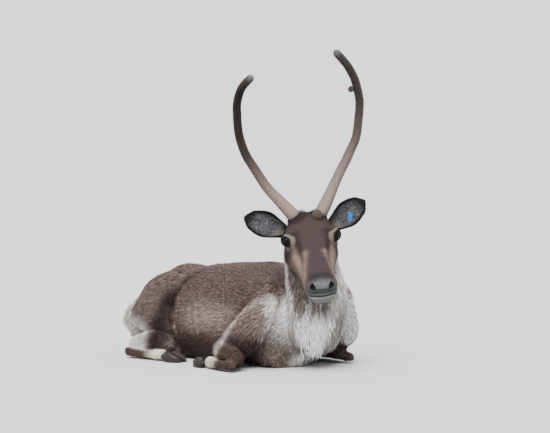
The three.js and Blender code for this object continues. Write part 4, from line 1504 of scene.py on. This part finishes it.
# Joins closed parts into one piece, colours it by height along the beam and covers it with very short
# upright hair.
def velvetPiece(name, side, parts, heights, node, seed):
    mesh = meshFrom(name, *joinParts(parts))
    height = np.concatenate(heights)
    setColours(mesh, velvetColour(height, side))
    finished(f"velvet_{name}", mesh, velvetMaterial, "velvet", node)
    rng = np.random.default_rng(seed)
    seeded = scatter(mesh, np.full(len(height), velvetTones["density"]), rng)
    roots, normals = atRoots(readPoints(mesh), *seeded), unit(atRoots(readNormals(mesh), *seeded))
    rootHeight = atRoots(height, *seeded)
    upward = np.array([0, 0, 1.0]) - normals * normals[:, 2:3]
    lie = unit(upward + 0.3 * rng.standard_normal(upward.shape))
    lie = laidOn(lie, normals)
    sizes = np.tile(velvetTones["hair"], (len(roots), 1))
    colour = velvetColour(rootHeight, side) * 0.95 + 0.05 * np.array(velvetTones["fuzz"])
    colour = colour * (1 + 0.3 * mottle(roots, 9))[:, None]
    turn = np.arctan2(normals[:, 1], normals[:, 0]) / (2 * math.pi) + 0.5
    patches = np.stack([turn, rootHeight], -1)
    fuzz = growCoat(f"fuzz_{name}", roots, normals, lie, sizes, colour, patches, 1, rng, 0, 0.3)


# Antlers: a tapering tube along each beam's curve, a knob high on the left one, and the brow bud.
def makeAntlers():
    for side, seed in (("left", 31), ("right", 32)):
        knots = curveAlong(fromCrown(antlers[side]), len(antlers["shape"]))
        rows = [(*at, antlers["beam"] * factor) for at, factor in zip(knots, antlers["shape"])]
        form = dict(rows=withDrop(rows), up=(0.7, 0.7, 0), ends=(0.03, 0.03), square=2, warp="none")
        parts = [tube(lambda t, angle: formSurface(form, t, angle, 1.5), 120, 32)]
        heights = [np.append(np.repeat(tubeSteps(120, 32)[0], 32), [0, 1])]
        if side == "left":
            parts.append(ball(fromCrown([antlers["knob"][0]])[0], [antlers["knob"][1] - 1] * 3))
            heights.append(np.full(28 * 32 + 2, 0.72))
        velvetPiece(f"antler_{side}", side, parts, heights, f"antler_{side}", seed)
    place, radii = antlers["bud"]
    bud = ball(np.zeros(3), [r - 2 for r in radii])
    bud = (fromHead(bud[0] + np.array(place, float)), *bud[1:])
    velvetPiece("brow_bud", "left", [bud], [np.full(len(bud[0]), 0.66)], "antler_left_brow", 33)


makeAntlers()
stage("antlers")


# Hooves: two claws and two dewclaws to a foot
feet = {
    "foreleg": {"root": (258, -222, 24), "heading": (-0.12, 1, -0.02)},
    "hindleg": {"root": (224, 68, 24), "heading": (-0.1, -1, -0.02)},
}
claw = {"length": 82, "half": 17, "rise": 24, "apart": 19, "growth": 0.35}


# A foot's root and its directions ahead and across.
def footAxes(foot, side, level=1.0):
    root = placed(foot, side, [(*feet[foot]["root"], 1)])[0, :3]
    heading = feet[foot]["heading"]
    ahead = unit(np.array([heading[0] * side, heading[1], heading[2] * level]))
    return root, ahead, unit(np.cross(ahead, (0, 0, 1)))


# A claw bowed inward to its tip, with a sharp lower edge and faint growth rings.
def makeClaw(foot, side, which):
    root, ahead, across = footAxes(foot, side)
    half, rise = claw["half"], claw["rise"]

    def at(far, out, high):
        point = root + ahead * far * claw["length"] + across * which * out * claw["apart"]
        return point + np.array([0, 0, high])

    rows = [
        (*at(-0.08, 0.78, -4), half * 0.8, rise * 0.75, rise * 0.8),
        (*at(0.25, 1, -5), half, rise * 0.8, rise),
        (*at(0.62, 1.02, -8), half * 0.85, rise * 0.55, rise),
        (*at(1, 0.55, -14), half * 0.3, rise * 0.22, rise * 0.6),
    ]
    form = dict(rows=withDrop(rows), ends=(0.15, 0.12), square=2.4)

    def place(t, angle):
        points = formSurface(form, t, angle, 0.6)
        if points.ndim > 2:
            outward = points - points.mean(axis=-2, keepdims=True)
            points = points + claw["growth"] * np.sin(t * 90)[..., None] * outward / 20
        return overFloor(points)

    return tube(place, 56, 36)


# A short cone beside and behind the claws.
def makeDewclaw(foot, side, which):
    root, ahead, across = footAxes(foot, side, 0)
    start = root - ahead * 20 + across * which * 14 - np.array([0, 0, 4])
    tip = start + ahead * 28 + across * which * 13 - np.array([0, 0, 8])
    rows = [(*start, 9, 9), (*(start + (tip - start) * 0.6), 8, 7), (*tip, 3, 3)]
    form = dict(rows=withDrop(rows), ends=(0.2, 0.2))

    return tube(lambda t, angle: overFloor(formSurface(form, t, angle, 0.3)), 28, 24)


# Two claws and two dewclaws on every foot.
def makeFeet():
    for foot in feet:
        for side, sideName in sideNames.items():
            for whichName, which in (("inner", -side), ("outer", side)):
                node = f"{foot}_claw_{whichName}_{sideName}"
                mesh = meshFrom(f"hoof_{node}", *makeClaw(foot, side, which))
                finished(f"hoof_{node}", mesh, hornMaterial, "horn", node)
                name = f"dewclaw_{foot}_{whichName}_{sideName}"
                small = addObject(meshFrom(name, *makeDewclaw(foot, side, which)), hornMaterial)
                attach(small, "root")


makeFeet()
stage("hooves")


# Ear tag: a rounded panel in the cup, a pin and a disc behind
tag = {"t": 0.5, "v": 0.28, "width": 15, "height": 32, "thick": 2.4, "pin": 3, "disc": 8, "stud": 4.2}


# A superellipse panel: its outline is |x/a|^p + |y/b|^p = 1, its edge a half round.
def roundedPlate(halfAcross, halfUp, halfThick, corner):

    def place(t, angle):
        polar = math.pi * t
        x, y = superellipse(angle, corner)
        out = np.sin(polar) ** 0.35
        return np.stack([halfAcross * x * out, halfUp * y * out, -halfThick * np.cos(polar)], -1)

    return tube(place, 20, 48)


# Panel, pin, disc and stud, stacked along the ear's outward direction.
def makeTag():
    one = np.array([0.0])
    middle = earPoint(1, one + tag["t"], one + tag["v"], one)[0]
    out = unit(earPoint(1, one + tag["t"], one + tag["v"], one + 10)[0] - middle)
    upright = unit(np.array([0, 0, 1.0]) - out * out[2])
    axes = np.stack([np.cross(upright, out), upright, out])
    offset = ear["thick"] / 2 + 1.4 + tag["thick"] / 2
    shapes = [
        (roundedPlate(tag["width"] / 2, tag["height"] / 2, tag["thick"] / 2, 6), (0, 0, offset)),
        (roundedPlate(tag["pin"], tag["pin"], offset, 2), (0, 0, 0)),
        (roundedPlate(tag["disc"], tag["disc"], tag["thick"] / 2, 2), (0, 0, -offset)),
        (roundedPlate(tag["stud"], tag["stud"], 0.8, 2), (0, 0, offset + tag["thick"] / 2)),
    ]
    parts = [(middle + (made + np.array(shift, float)) @ axes, *faces) for (made, *faces), shift in shapes]
    mesh = meshFrom("tagPanel", *joinParts(parts))
    finished("tag_panel", mesh, tagMaterial, "tag", "ear_tag")


makeTag()

# Studio: pale floor and backdrop, soft light, camera
studio = {
    "floor": (0.488, 0.494, 0.495),
    "sky": (0.96, 0.98, 1.0),
    "skyStrength": 1.75,
    "sunPlace": (-2.8, -2.0, 3.4),
    "sunStrength": 8.6,
    "sunColour": (1.0, 0.97, 0.93),
    "sunSpread": 35,
    "cameraPlace": (-3.032, -3.251, 0.5),
    "cameraTurn": -46,
    "lens": 83.13,
}
floorMaterial = principled("paleFloor", surface(1.0, 0.0), studio["floor"])
bpy.ops.mesh.primitive_plane_add(size=400)
floor = bpy.context.object
floor.name = "floor"
floor.data.materials.append(floorMaterial)

sun = bpy.data.objects.new("softSun", bpy.data.lights.new("softSun", "SUN"))
sun.data.energy = studio["sunStrength"]
sun.data.angle = math.radians(studio["sunSpread"])
sun.data.color = studio["sunColour"]
sun.location = studio["sunPlace"]
sun.rotation_euler = (-sun.location).to_track_quat("-Z", "Y").to_euler()
bpy.context.scene.collection.objects.link(sun)
world = bpy.data.worlds.new("studio")
bpy.context.scene.world = world
world.use_nodes = True
background = world.node_tree.nodes["Background"]
background.inputs["Color"].default_value = (*studio["sky"], 1)
background.inputs["Strength"].default_value = studio["skyStrength"]

camera = bpy.data.objects.new("camera", bpy.data.cameras.new("camera"))
camera.data.lens = studio["lens"]
camera.data.sensor_width = 36
camera.location = studio["cameraPlace"]
camera.rotation_euler = (math.radians(90), 0, math.radians(studio["cameraTurn"]))
bpy.context.scene.collection.objects.link(camera)
bpy.context.scene.camera = camera

triangles = sum(len(p.vertices) - 2 for o in coatPieces for p in o.data.polygons)
stage(f"coat in {len(coatPieces)} pieces, {triangles} triangles")
